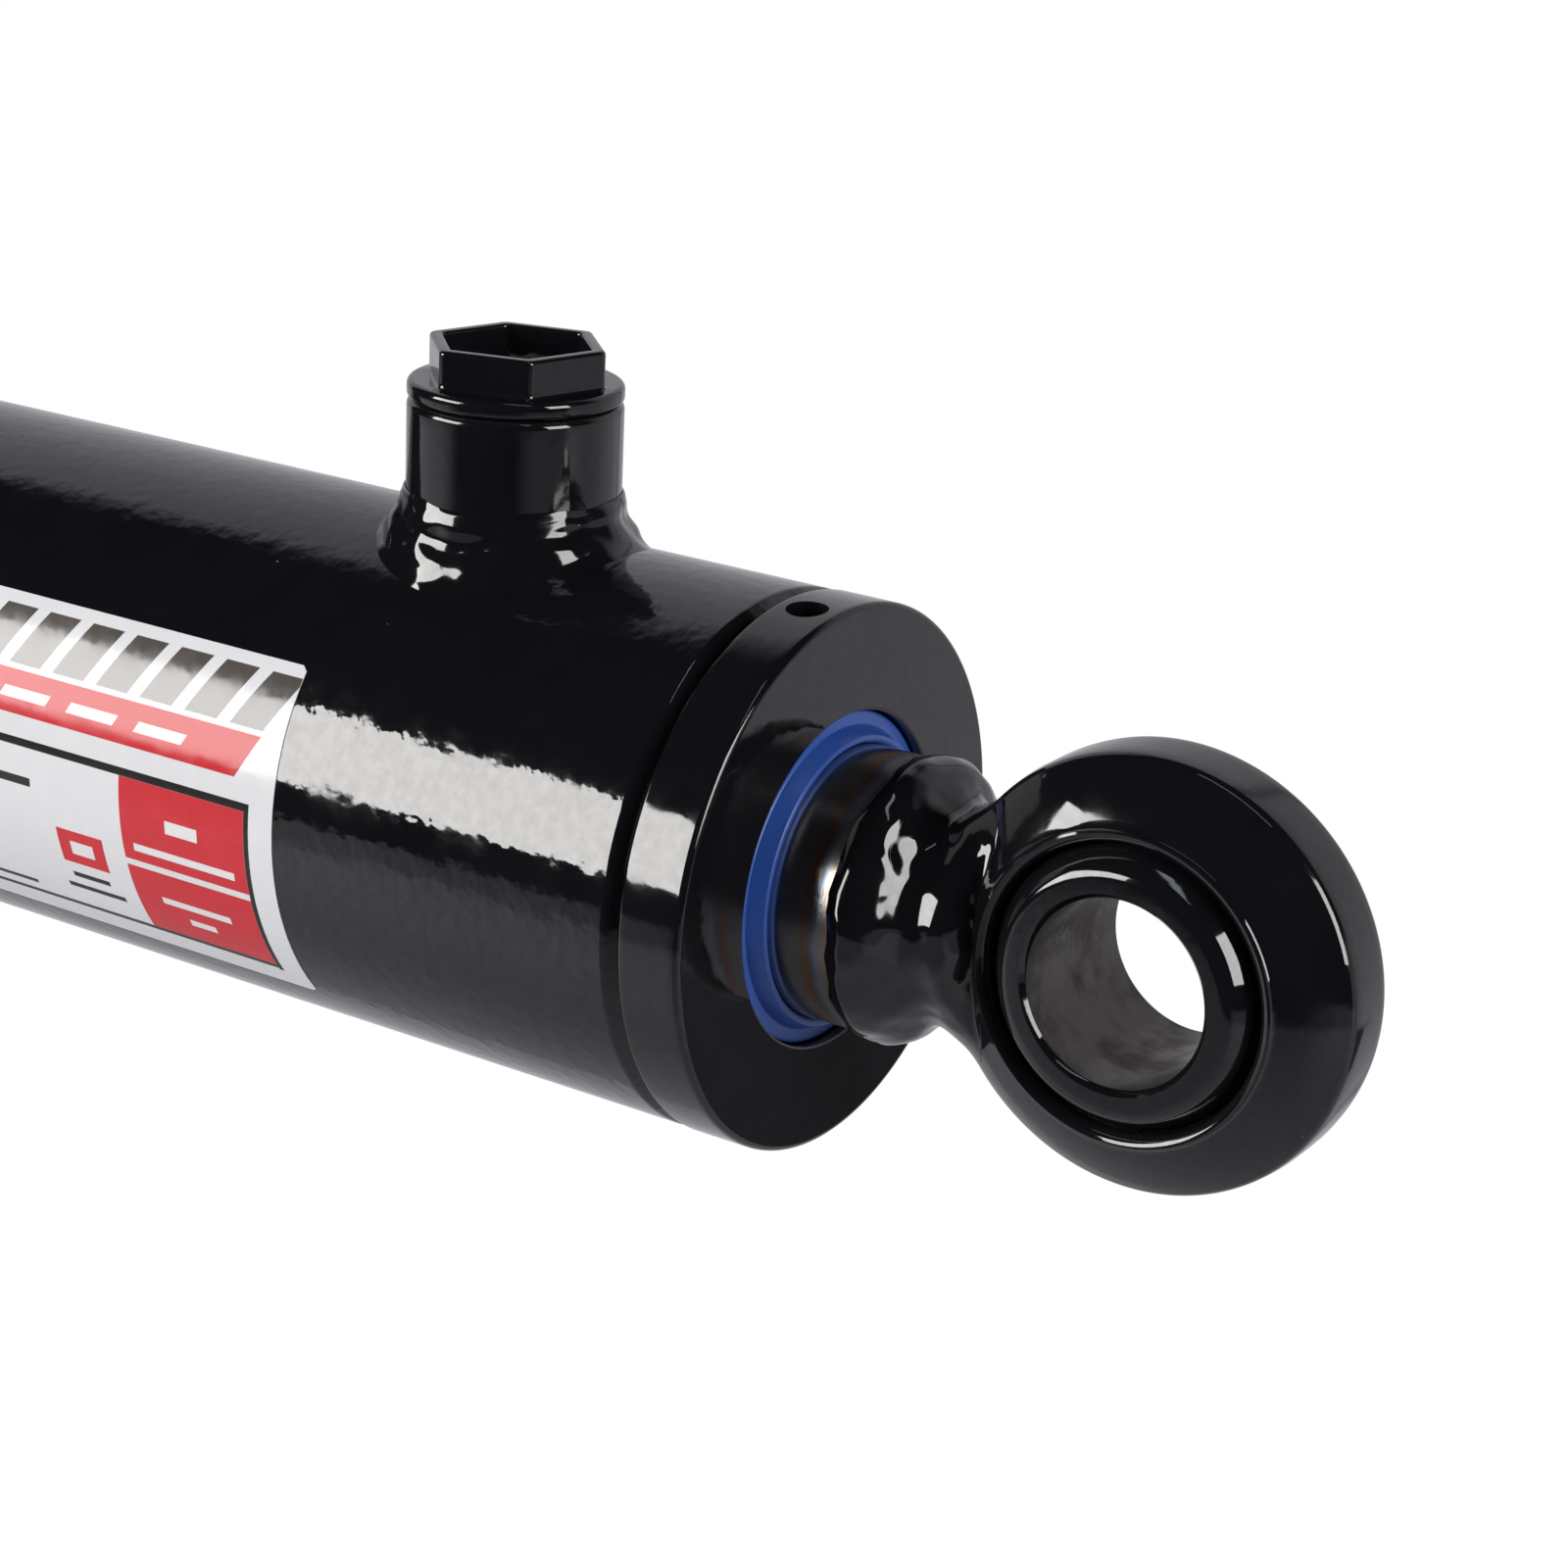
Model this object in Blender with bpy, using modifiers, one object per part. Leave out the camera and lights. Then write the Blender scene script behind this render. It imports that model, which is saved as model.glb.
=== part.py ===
"""Double-acting hydraulic cylinder with a swivel ball in each eye, built as separate pieces.

Frame: the origin is the centre of the base eye, +X runs along the rod and +Z through the ports.
All sizes are in metres. Pieces that would touch keep GAP between them, because each is a closed
faceted solid of its own. A turned profile is a list of (radius, station) points, which runs down
the outer side of the piece from its high station to its low one.
"""
import math

import bmesh
import bpy

MM = 0.001
INCH = 0.0254
GAP = 0.3 * MM
WELD_DISTANCE = 0.00001

# Facets around a turned piece, around a small one, and around the section of an O-ring
ROUND = 32
ROUND_SMALL = 24
ROUND_SECTION = 8

# Driving dimensions
BORE_R = 2.5 * INCH / 2
TUBE_R = 3.0 * INCH / 2
ROD_R = 1.5 * INCH / 2
PIN_R = 1.0 * INCH / 2
STROKE = 8.0 * INCH
RETRACTED = 17.75 * INCH
THREAD_PITCH = INCH / 16

# Eyes: a crowned ring around a swivel ball
EYE_R = 29.8 * MM
EYE_BAND = 4.1 * MM
EYE_SHOULDER_R = 27.0 * MM
EYE_SHOULDER = 7.2 * MM
EYE_HALF_WIDTH = 11.0 * MM
EYE_MOUTH_R = 20.4 * MM
EYE_THROAT = 7.0 * MM
EYE_BEVEL = 1.0 * MM
BALL_R = 20.9 * MM
BALL_HALF_WIDTH = 12.8 * MM
BALL_BEVEL = 0.7 * MM
BALL_ARC_STEPS = 8
RACE_R = BALL_R + GAP
RACE_ARC_STEPS = 4

# Stations along X of the gland, measured from its front face
GLAND_FACE = RETRACTED - 48.7 * MM
GLAND_R = 38.26 * MM
GLAND_COLLAR = 10.0 * MM
GLAND_EDGE = 1.2 * MM
GLAND_THREAD_R = 33.5 * MM
GLAND_THREAD_END = 34.0 * MM
GLAND_PILOT_END = 45.7 * MM
GLAND_NOSE_R = 27.0 * MM
GLAND_NOSE_BORE_R = 21.0 * MM
GLAND_LENGTH = 70.0 * MM
GLAND_BORE_R = ROD_R + GAP
WIPER_SEAT_R = 23.47 * MM
WIPER_SEAT = 6.5 * MM
WIPER_RECESS = 1.5 * MM
WIPER_LIP = 1.2 * MM
WIPER_LIP_INNER = 0.8 * MM
WIPER_LIP_OUTER = 1.5 * MM
WIPER_LIP_FOOT = 2.4 * MM
ROD_SEAL_GROOVE = (14.0 * MM, 22.0 * MM, 23.2 * MM)
WEAR_GROOVE = (28.0 * MM, 40.0 * MM, 21.6 * MM)
O_RING_GROOVE = (36.5 * MM, 42.5 * MM, 28.9 * MM)
SEAL_LIP = 1.2 * MM
SEAL_NOTCH = 3.0 * MM
SPLIT_HALF_WIDTH = 1.5 * MM
SPLIT_HALF_REACH = 30.0 * MM
SPANNER_HOLE_R = 2.9 * MM
SPANNER_HOLE_DEPTH = 7.0 * MM
SPANNER_HOLE_STATION = 5.1 * MM
SPANNER_HOLE_TURN = math.radians(5.7)

# Barrel tube and base cap
CAP_FACE = 31.0 * MM
CAP_FLANGE = 10.0 * MM
CAP_SPIGOT = 15.0 * MM
CAP_SPIGOT_R = BORE_R - GAP
WELD_GROOVE = 3.0 * MM
WELD_CROWN = 1.0 * MM
TUBE_START = CAP_FACE + CAP_FLANGE + GAP
TUBE_END = GLAND_FACE - GLAND_COLLAR - GAP
TUBE_BEVEL = 1.7 * MM
TUBE_THREAD_R = GLAND_THREAD_R + GAP
TUBE_THREAD_END = 26.0 * MM
LABEL_RIGHT = GLAND_FACE - 68.0 * MM
LABEL_LENGTH = 122.0 * MM
LABEL_TOP = math.radians(38.7)
LABEL_BOTTOM = math.radians(-41.4)
LABEL_SHEET = 0.15 * MM
LABEL_STEPS = 8

# Ports: a straight-thread boss, its fillet weld and a hollow hexagon plug
ROD_PORT_X = GLAND_FACE - 57.0 * MM
BASE_PORT_X = 72.0 * MM
BOSS_R = 15.1 * MM
BOSS_TOP = 57.3 * MM
BOSS_EDGE = 1.0 * MM
BOSS_BORE_R = 9.55 * MM
BOSS_SEAT_R = 11.0 * MM
BOSS_SEAT = 2.5 * MM
BOSS_THREAD = 14.0 * MM
PORT_HOLE_R = 6.0 * MM
SADDLE_DEPTH = 30.0 * MM
BOSS_FILLET = ((15.4, 44.5), (15.9, 41.5), (17.1, 38.2), (19.4, 33.4), (21.0, 31.0))
PLUG_FLANGE_R = 15.1 * MM
PLUG_FLANGE = 2.3 * MM
PLUG_FLANGE_EDGE = 0.6 * MM
PLUG_SHANK_R = 9.2 * MM
PLUG_SHANK = 7 * THREAD_PITCH
PLUG_NECK_R = 7.9 * MM
PLUG_NECK = 2.2 * MM
PLUG_HOLLOW_R = 6.5 * MM
PLUG_HOLLOW = 8.0 * MM
PLUG_RING_SECTION = 0.85 * MM
HEX_R = 13.0 * MM
HEX_SOCKET_R = 11.0 * MM
HEX_TOP = 65.25 * MM
HEX_TURN = math.radians(15.6)

# Rod, piston and nut
NECK_START = 10.2 * MM
ROD_END = GLAND_FACE + 13.7 * MM
PISTON_FRONT = GLAND_FACE - GLAND_LENGTH - STROKE - 2 * GAP
PISTON_R = 31.2 * MM
PISTON_LENGTH = 44.5 * MM
PISTON_WEAR_GROOVES = ((5.0 * MM, 13.5 * MM, 29.0 * MM), (31.0 * MM, 39.5 * MM, 29.0 * MM))
PISTON_SEAL_GROOVE = (17.5 * MM, 27.0 * MM, 26.5 * MM)
PISTON_O_GROOVE = (8.0 * MM, 11.4 * MM, 15.4 * MM)
SPIGOT_R = 12.7 * MM
NUT_R = 21.9 * MM
NUT_LENGTH = 22.0 * MM
NUT_EDGE = 2.0 * MM
SPIGOT_PROUD = 2.9 * MM

# Weld necks as (radius, distance from the face they grow from), in millimetres
ROD_NECK = ((15.3, 11.5), (14.7, 9.0), (14.6, 6.0), (15.1, 4.5), (18.2, 2.0), (19.7, -0.6), (20.2, -3.2))
BASE_NECK = ((15.3, 9.0), (14.8, 6.5), (15.8, 4.0), (18.4, 1.8), (21.5, 0.3))

PARTS_COLLECTION = "hydraulic_cylinder"
CUTTER_COLLECTION = "cutters"
AXIS_TURN = {
    "X": (0.0, math.pi / 2, 0.0),
    "Y": (-math.pi / 2, 0.0, 0.0),
    "Z": (0.0, 0.0, 0.0),
}


def clear_scene():
    """Remove every object and make the two collections."""
    for old in list(bpy.data.objects):
        bpy.data.objects.remove(old, do_unlink=True)
    for name in (PARTS_COLLECTION, CUTTER_COLLECTION):
        bpy.context.scene.collection.children.link(bpy.data.collections.new(name))


def make_material(name, color, roughness, metallic):
    """Return a Principled material with one plain colour."""
    material = bpy.data.materials.new(name)
    material.use_nodes = True
    shader = material.node_tree.nodes["Principled BSDF"]
    shader.inputs["Base Color"].default_value = (*color, 1.0)
    shader.inputs["Roughness"].default_value = roughness
    shader.inputs["Metallic"].default_value = metallic
    return material


def make_materials():
    """Return the materials of the cylinder by slot name."""
    return {
        "black_paint": make_material("black_paint", (0.008, 0.008, 0.009), 0.12, 0.0),
        "chrome_rod": make_material("chrome_rod", (0.60, 0.58, 0.56), 0.12, 1.0),
        "machined_steel": make_material("machined_steel", (0.42, 0.41, 0.40), 0.35, 1.0),
        "ball_steel": make_material("ball_steel", (0.30, 0.27, 0.25), 0.38, 1.0),
        "blue_urethane": make_material("blue_urethane", (0.015, 0.075, 0.42), 0.30, 0.0),
        "nitrile_rubber": make_material("nitrile_rubber", (0.015, 0.015, 0.016), 0.55, 0.0),
        "wear_plastic": make_material("wear_plastic", (0.16, 0.10, 0.05), 0.50, 0.0),
        "label_vinyl": make_material("label_vinyl", (0.62, 0.60, 0.58), 0.30, 0.0),
    }


def link(piece, collection):
    bpy.data.collections[collection].objects.link(piece)
    return piece


def turn_profile(name, profile, axis, centre, closed, steps, angle=math.tau):
    """Make an object that turns a profile about one of its axes with a Screw modifier."""
    mesh = bpy.data.meshes.new(name)
    shape = bmesh.new()
    corners = [shape.verts.new((radius, 0.0, station)) for radius, station in profile]
    for first, second in zip(corners, corners[1:]):
        shape.edges.new((first, second))
    if closed:
        shape.edges.new((corners[-1], corners[0]))
    shape.to_mesh(mesh)
    shape.free()
    piece = bpy.data.objects.new(name, mesh)
    piece.rotation_euler = AXIS_TURN[axis]
    piece.location = centre
    screw = piece.modifiers.new("turn", "SCREW")
    screw.axis = "Z"
    screw.angle = angle
    screw.steps = steps
    screw.render_steps = steps
    screw.use_merge_vertices = True
    screw.merge_threshold = WELD_DISTANCE
    return piece


def turned(name, profile, axis="X", centre=(0.0, 0.0, 0.0), closed=True, steps=ROUND):
    """Make a turned part."""
    piece = turn_profile(name, profile, axis, centre, closed, steps)
    return link(piece, PARTS_COLLECTION)


def as_cutter(piece):
    """Mark an object as a cutter, which is kept out of the parts."""
    piece.hide_render = True
    piece.display_type = "WIRE"
    return link(piece, CUTTER_COLLECTION)


def turned_cutter(name, profile, axis, centre, closed=False, steps=ROUND):
    return as_cutter(turn_profile(name, profile, axis, centre, closed, steps))


def prism(name, sides, radius, low, high, centre, turn=0.0):
    """Make an upright prism, such as a hexagon or a drill, between two heights."""
    mesh = bpy.data.meshes.new(name)
    shape = bmesh.new()
    bmesh.ops.create_cone(
        shape, cap_ends=True, segments=sides, radius1=radius, radius2=radius, depth=high - low
    )
    bmesh.ops.translate(shape, verts=shape.verts, vec=(0.0, 0.0, (high + low) / 2))
    shape.to_mesh(mesh)
    shape.free()
    piece = bpy.data.objects.new(name, mesh)
    piece.location = centre
    piece.rotation_euler = (0.0, 0.0, turn)
    return piece


def combine(piece, other, operation="DIFFERENCE"):
    """Cut, join or trim a piece with another object."""
    boolean = piece.modifiers.new(other.name, "BOOLEAN")
    boolean.operation = operation
    boolean.object = other
    return piece


def grooved(radius, grooves, face, end, bore_radius):
    """Return a plain ring's profile from face back to end, with grooves turned in its outside."""
    points = [(radius, face)]
    for start, stop, floor in grooves:
        points += [(radius, face - start), (floor, face - start)]
        points += [(floor, face - stop), (radius, face - stop)]
    return points + [(radius, end), (bore_radius, end), (bore_radius, face)]


def ring_in_groove(face, groove, outer, inner):
    """Return the profile of a ring that lies in a groove, GAP clear of both of its sides."""
    high = face - groove[0] - GAP
    low = face - groove[1] + GAP
    return [(outer, high), (outer, low), (inner, low), (inner, high)]


def circle_profile(radius, section, station):
    """Return the profile of an O-ring."""
    turns = [-math.tau * step / ROUND_SECTION for step in range(ROUND_SECTION)]
    return [(radius + section * math.cos(turn), station + section * math.sin(turn)) for turn in turns]


def sphere_arc(radius, limit, steps):
    """Return points down a sphere's side, between the planes limit above and below its middle."""
    stations = [limit * (1 - 2 * step / steps) for step in range(steps + 1)]
    return [(math.sqrt(radius ** 2 - station ** 2), station) for station in stations]


def eye_outside(grow=0.0):
    """Return the crowned outside of an eye ring, grown by a clearance."""
    half = [
        (EYE_MOUTH_R + EYE_BEVEL, EYE_HALF_WIDTH + grow),
        (EYE_SHOULDER_R + grow, EYE_SHOULDER + grow),
        (EYE_R - EYE_BEVEL + grow, EYE_BAND + EYE_BEVEL + grow),
        (EYE_R + grow, EYE_BAND + grow),
    ]
    return half + [(radius, -station) for radius, station in reversed(half)]


def make_eye_ring(name, centre):
    """The ring of an eye: crowned outside, and a ball race inside that opens at both mouths."""
    race = sphere_arc(RACE_R, EYE_THROAT, RACE_ARC_STEPS)
    bore = [(EYE_MOUTH_R, -EYE_HALF_WIDTH)] + race[::-1] + [(EYE_MOUTH_R, EYE_HALF_WIDTH)]
    return turned(name, eye_outside() + bore, "Y", centre)


def make_eye_ball(name, centre):
    """The swivel ball: a sphere with two flat faces and a bevelled pin bore."""
    bore = [
        (PIN_R + BALL_BEVEL, -BALL_HALF_WIDTH),
        (PIN_R, -BALL_HALF_WIDTH + BALL_BEVEL),
        (PIN_R, BALL_HALF_WIDTH - BALL_BEVEL),
        (PIN_R + BALL_BEVEL, BALL_HALF_WIDTH),
    ]
    return turned(name, sphere_arc(BALL_R, BALL_HALF_WIDTH, BALL_ARC_STEPS) + bore, "Y", centre)


def cut_for_eye(neck, centre):
    """Cut the place of an eye ring out of a weld neck."""
    outside = eye_outside(GAP)
    solid = [(0.0, outside[0][1])] + outside + [(0.0, outside[-1][1])]
    return combine(neck, turned_cutter(neck.name + "_cut", solid, "Y", centre))


def make_rod_eye_weld(name, centre):
    """The weld neck that runs from over the rod's end to the flanks of the rod eye."""
    outside = [(radius * MM, ROD_END + distance * MM) for radius, distance in ROD_NECK]
    tip = outside[0][1]
    lip = GLAND_FACE + NECK_START
    socket_r = ROD_R + GAP
    inside = [(socket_r, lip), (socket_r, ROD_END + GAP), (0.0, ROD_END + GAP)]
    neck = turned(name, [(0.0, tip)] + outside + inside, closed=False)
    return cut_for_eye(neck, centre)


def make_base_eye_weld(name, centre):
    """The weld neck between the base cap and the flanks of the base eye."""
    face = CAP_FACE - GAP
    outside = [(radius * MM, face - distance * MM) for radius, distance in BASE_NECK]
    profile = [(0.0, face)] + outside[::-1] + [(0.0, outside[0][1])]
    return cut_for_eye(turned(name, profile, closed=False), centre)


def make_barrel_tube(name):
    """The honed tube, opened out for the gland's thread and drilled for both ports."""
    thread_end = TUBE_END - TUBE_THREAD_END
    profile = [
        (TUBE_R - TUBE_BEVEL, TUBE_END),
        (TUBE_R, TUBE_END - TUBE_BEVEL),
        (TUBE_R, TUBE_START + WELD_GROOVE),
        (TUBE_R - WELD_GROOVE, TUBE_START),
        (BORE_R, TUBE_START),
        (BORE_R, thread_end),
        (TUBE_THREAD_R, thread_end),
        (TUBE_THREAD_R, TUBE_END),
    ]
    tube = turned(name, profile)
    for port_x in (ROD_PORT_X, BASE_PORT_X):
        drill = prism("port_drill", ROUND_SMALL, PORT_HOLE_R, SADDLE_DEPTH / 2, BOSS_TOP, (port_x, 0.0, 0.0))
        combine(tube, as_cutter(drill))
    return tube


def make_base_cap(name):
    """The cap that closes the tube, with a flange and a spigot in the bore."""
    flange_end = CAP_FACE + CAP_FLANGE
    spigot_end = flange_end + CAP_SPIGOT
    profile = [
        (0.0, spigot_end),
        (CAP_SPIGOT_R - EYE_BEVEL, spigot_end),
        (CAP_SPIGOT_R, spigot_end - EYE_BEVEL),
        (CAP_SPIGOT_R, flange_end),
        (TUBE_R - WELD_GROOVE, flange_end),
        (TUBE_R, flange_end - WELD_GROOVE),
        (TUBE_R, CAP_FACE + TUBE_BEVEL),
        (TUBE_R - TUBE_BEVEL, CAP_FACE),
        (0.0, CAP_FACE),
    ]
    return turned(name, profile, closed=False)


def make_cap_weld(name):
    """The bead in the V between the tube and the cap, with a low crown."""
    middle = TUBE_START - GAP / 2
    half = WELD_GROOVE - GAP
    crown = TUBE_R + WELD_CROWN
    profile = [
        (TUBE_R + GAP, middle + half),
        (crown, middle + half / 2),
        (crown, middle - half / 2),
        (TUBE_R + GAP, middle - half),
        (TUBE_R - WELD_GROOVE + 2 * GAP, middle),
    ]
    return turned(name, profile)


def make_gland(name):
    """The threaded gland that carries the rod, its seals and its wear ring."""
    def at(distance):
        return GLAND_FACE - distance

    pilot_r = BORE_R - GAP
    seal_start, seal_end, seal_r = ROD_SEAL_GROOVE
    wear_start, wear_end, wear_r = WEAR_GROOVE
    ring_start, ring_end, ring_r = O_RING_GROOVE
    outside = [
        (GLAND_R - GLAND_EDGE, at(0.0)),
        (GLAND_R, at(GLAND_EDGE)),
        (GLAND_R, at(GLAND_COLLAR)),
        (GLAND_THREAD_R, at(GLAND_COLLAR)),
        (GLAND_THREAD_R, at(GLAND_THREAD_END)),
        (pilot_r, at(GLAND_THREAD_END)),
        (pilot_r, at(ring_start)),
        (ring_r, at(ring_start)),
        (ring_r, at(ring_end)),
        (pilot_r, at(ring_end)),
        (pilot_r, at(GLAND_PILOT_END)),
        (GLAND_NOSE_R, at(GLAND_PILOT_END)),
        (GLAND_NOSE_R, at(GLAND_LENGTH)),
    ]
    inside = [
        (GLAND_NOSE_BORE_R, at(GLAND_LENGTH)),
        (GLAND_NOSE_BORE_R, at(GLAND_PILOT_END)),
        (GLAND_BORE_R, at(GLAND_PILOT_END)),
        (GLAND_BORE_R, at(wear_end)),
        (wear_r, at(wear_end)),
        (wear_r, at(wear_start)),
        (GLAND_BORE_R, at(wear_start)),
        (GLAND_BORE_R, at(seal_end)),
        (seal_r, at(seal_end)),
        (seal_r, at(seal_start)),
        (GLAND_BORE_R, at(seal_start)),
        (GLAND_BORE_R, at(WIPER_SEAT)),
        (WIPER_SEAT_R, at(WIPER_SEAT)),
        (WIPER_SEAT_R, at(0.0)),
    ]
    gland = turned(name, outside + inside)
    for side in (0.0, math.pi):
        low = GLAND_R - SPANNER_HOLE_DEPTH
        high = GLAND_R + SPANNER_HOLE_DEPTH
        centre = (at(SPANNER_HOLE_STATION), 0.0, 0.0)
        drill = prism("spanner_drill", ROUND_SMALL // 2, SPANNER_HOLE_R, low, high, centre)
        drill.rotation_euler = (SPANNER_HOLE_TURN + side, 0.0, 0.0)
        combine(gland, as_cutter(drill))
    return gland


def make_wiper(name):
    """The rod wiper, whose lip stands just out of the gland's face."""
    root = GLAND_FACE - WIPER_SEAT + GAP
    step = GLAND_FACE - WIPER_RECESS
    lip = GLAND_FACE + WIPER_LIP
    outer_r = WIPER_SEAT_R - GAP
    profile = [
        (ROD_R + WIPER_LIP_INNER, lip),
        (ROD_R + WIPER_LIP_OUTER, lip),
        (ROD_R + WIPER_LIP_FOOT, step),
        (outer_r, step),
        (outer_r, root),
        (GLAND_BORE_R, root),
        (GLAND_BORE_R, step),
    ]
    return turned(name, profile)


def make_rod_seal(name):
    """The U-cup rod seal, whose open side faces the oil."""
    start, stop, floor = ROD_SEAL_GROOVE
    high = GLAND_FACE - start - GAP
    low = GLAND_FACE - stop + GAP
    outer_r = floor - GAP
    notch = low + SEAL_NOTCH
    profile = [
        (outer_r, high),
        (outer_r, low),
        (outer_r - SEAL_LIP, low),
        ((outer_r + GLAND_BORE_R) / 2, notch),
        (GLAND_BORE_R + SEAL_LIP, low),
        (GLAND_BORE_R, low),
        (GLAND_BORE_R, high),
    ]
    return turned(name, profile)


def make_split_ring(name, profile):
    """A wear ring, split at its lowest point so that it springs into its groove."""
    ring = turned(name, profile)
    stations = [station for _, station in profile]
    middle = (min(stations) + max(stations)) / 2
    slot = prism("split_cut", 4, SPLIT_HALF_WIDTH, -BORE_R - GAP, 0.0, (middle, 0.0, 0.0))
    slot.scale = (SPLIT_HALF_REACH / SPLIT_HALF_WIDTH, 1.0, 1.0)
    combine(ring, as_cutter(slot))
    return ring


def make_gland_seals():
    """The O-ring and back-up ring between the gland and the tube."""
    start, stop, floor = O_RING_GROOVE
    section = (BORE_R - floor) / 2 - GAP
    middle_r = (BORE_R + floor) / 2
    ring_station = GLAND_FACE - start - GAP - section
    o_ring = turned("gland_o_ring", circle_profile(middle_r, section, ring_station))
    back = (ring_station - section - GAP, GLAND_FACE - stop + GAP)
    inner, outer = floor + GAP, BORE_R - GAP
    square = [(outer, back[0]), (outer, back[1]), (inner, back[1]), (inner, back[0])]
    return o_ring, turned("gland_backup_ring", square)


def make_rod(name):
    """The chromed rod, stepped down to the piston spigot."""
    shoulder = PISTON_FRONT + GAP
    spigot_end = PISTON_FRONT - PISTON_LENGTH - GAP - NUT_LENGTH - SPIGOT_PROUD
    profile = [
        (0.0, ROD_END),
        (ROD_R, ROD_END),
        (ROD_R, shoulder),
        (SPIGOT_R, shoulder),
        (SPIGOT_R, spigot_end + EYE_BEVEL),
        (SPIGOT_R - EYE_BEVEL, spigot_end),
        (0.0, spigot_end),
    ]
    return turned(name, profile, closed=False)


def make_piston(name):
    """The piston, grooved for one seal and two wear rings, and for an O-ring in its bore."""
    grooves = (PISTON_WEAR_GROOVES[0], PISTON_SEAL_GROOVE, PISTON_WEAR_GROOVES[1])
    bore_r = SPIGOT_R + GAP
    end = PISTON_FRONT - PISTON_LENGTH
    profile = grooved(PISTON_R, grooves, PISTON_FRONT, end, bore_r)
    start, stop, floor = PISTON_O_GROOVE
    bore_groove = [
        (bore_r, PISTON_FRONT - stop),
        (floor, PISTON_FRONT - stop),
        (floor, PISTON_FRONT - start),
        (bore_r, PISTON_FRONT - start),
    ]
    return turned(name, profile[:-1] + bore_groove + profile[-1:])


def make_piston_rings():
    """The piston's seal and its two wear rings, which stay with the barrel as the rod turns."""
    outer = BORE_R - GAP
    seal = ring_in_groove(PISTON_FRONT, PISTON_SEAL_GROOVE, outer, PISTON_SEAL_GROOVE[2] + GAP)
    pieces = [turned("piston_seal", seal)]
    for name, groove in zip(("piston_wear_ring_front", "piston_wear_ring_rear"), PISTON_WEAR_GROOVES):
        pieces.append(make_split_ring(name, ring_in_groove(PISTON_FRONT, groove, outer, groove[2] + GAP)))
    return pieces


def make_piston_o_ring(name):
    start, stop, floor = PISTON_O_GROOVE
    section = (floor - SPIGOT_R) / 2 - GAP
    station = PISTON_FRONT - (start + stop) / 2
    return turned(name, circle_profile((floor + SPIGOT_R) / 2, section, station), steps=ROUND_SMALL)


def make_piston_nut(name):
    """The hexagon nut that holds the piston, with its corners turned off at both faces."""
    high = PISTON_FRONT - PISTON_LENGTH - GAP
    low = high - NUT_LENGTH
    nut = link(prism(name, 6, NUT_R, low, high, (0.0, 0.0, 0.0)), PARTS_COLLECTION)
    nut.rotation_euler = AXIS_TURN["X"]
    bore_r = SPIGOT_R + GAP
    blank = [
        (NUT_R - NUT_EDGE, high),
        (NUT_R + GAP, high - NUT_EDGE),
        (NUT_R + GAP, low + NUT_EDGE),
        (NUT_R - NUT_EDGE, low),
        (bore_r, low),
        (bore_r, high),
    ]
    return combine(nut, turned_cutter("nut_blank", blank, "X", (0.0, 0.0, 0.0), True), "INTERSECT")


def cut_saddle(piece):
    """Cut the underside of a port piece to the outside of the tube."""
    barrel = [(0.0, RETRACTED), (TUBE_R + GAP, RETRACTED), (TUBE_R + GAP, -EYE_R), (0.0, -EYE_R)]
    return combine(piece, turned_cutter(piece.name + "_saddle", barrel, "X", (0.0, 0.0, 0.0)))


def make_port_boss(name, centre):
    """The welded port boss, bored for a straight thread with an O-ring seat at its mouth."""
    seat_foot = BOSS_TOP - BOSS_SEAT
    thread_foot = BOSS_TOP - BOSS_THREAD
    profile = [
        (BOSS_R - BOSS_EDGE, BOSS_TOP),
        (BOSS_R, BOSS_TOP - BOSS_EDGE),
        (BOSS_R, SADDLE_DEPTH),
        (PORT_HOLE_R, SADDLE_DEPTH),
        (PORT_HOLE_R, thread_foot),
        (BOSS_BORE_R, thread_foot),
        (BOSS_BORE_R, seat_foot - BOSS_EDGE),
        (BOSS_SEAT_R - 2 * GAP, seat_foot),
        (BOSS_SEAT_R, BOSS_TOP),
    ]
    return cut_saddle(turned(name, profile, "Z", centre, steps=ROUND_SMALL))


def make_port_weld(name, centre):
    """The fillet weld around a port boss."""
    outside = [(radius * MM, height * MM) for radius, height in BOSS_FILLET]
    inner_r = BOSS_R + GAP
    outside[0] = (inner_r + WELD_CROWN / 5, outside[0][1])
    profile = outside + [(outside[-1][0], SADDLE_DEPTH), (inner_r, SADDLE_DEPTH), (inner_r, outside[0][1])]
    return cut_saddle(turned(name, profile, "Z", centre, steps=ROUND_SMALL))


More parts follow.
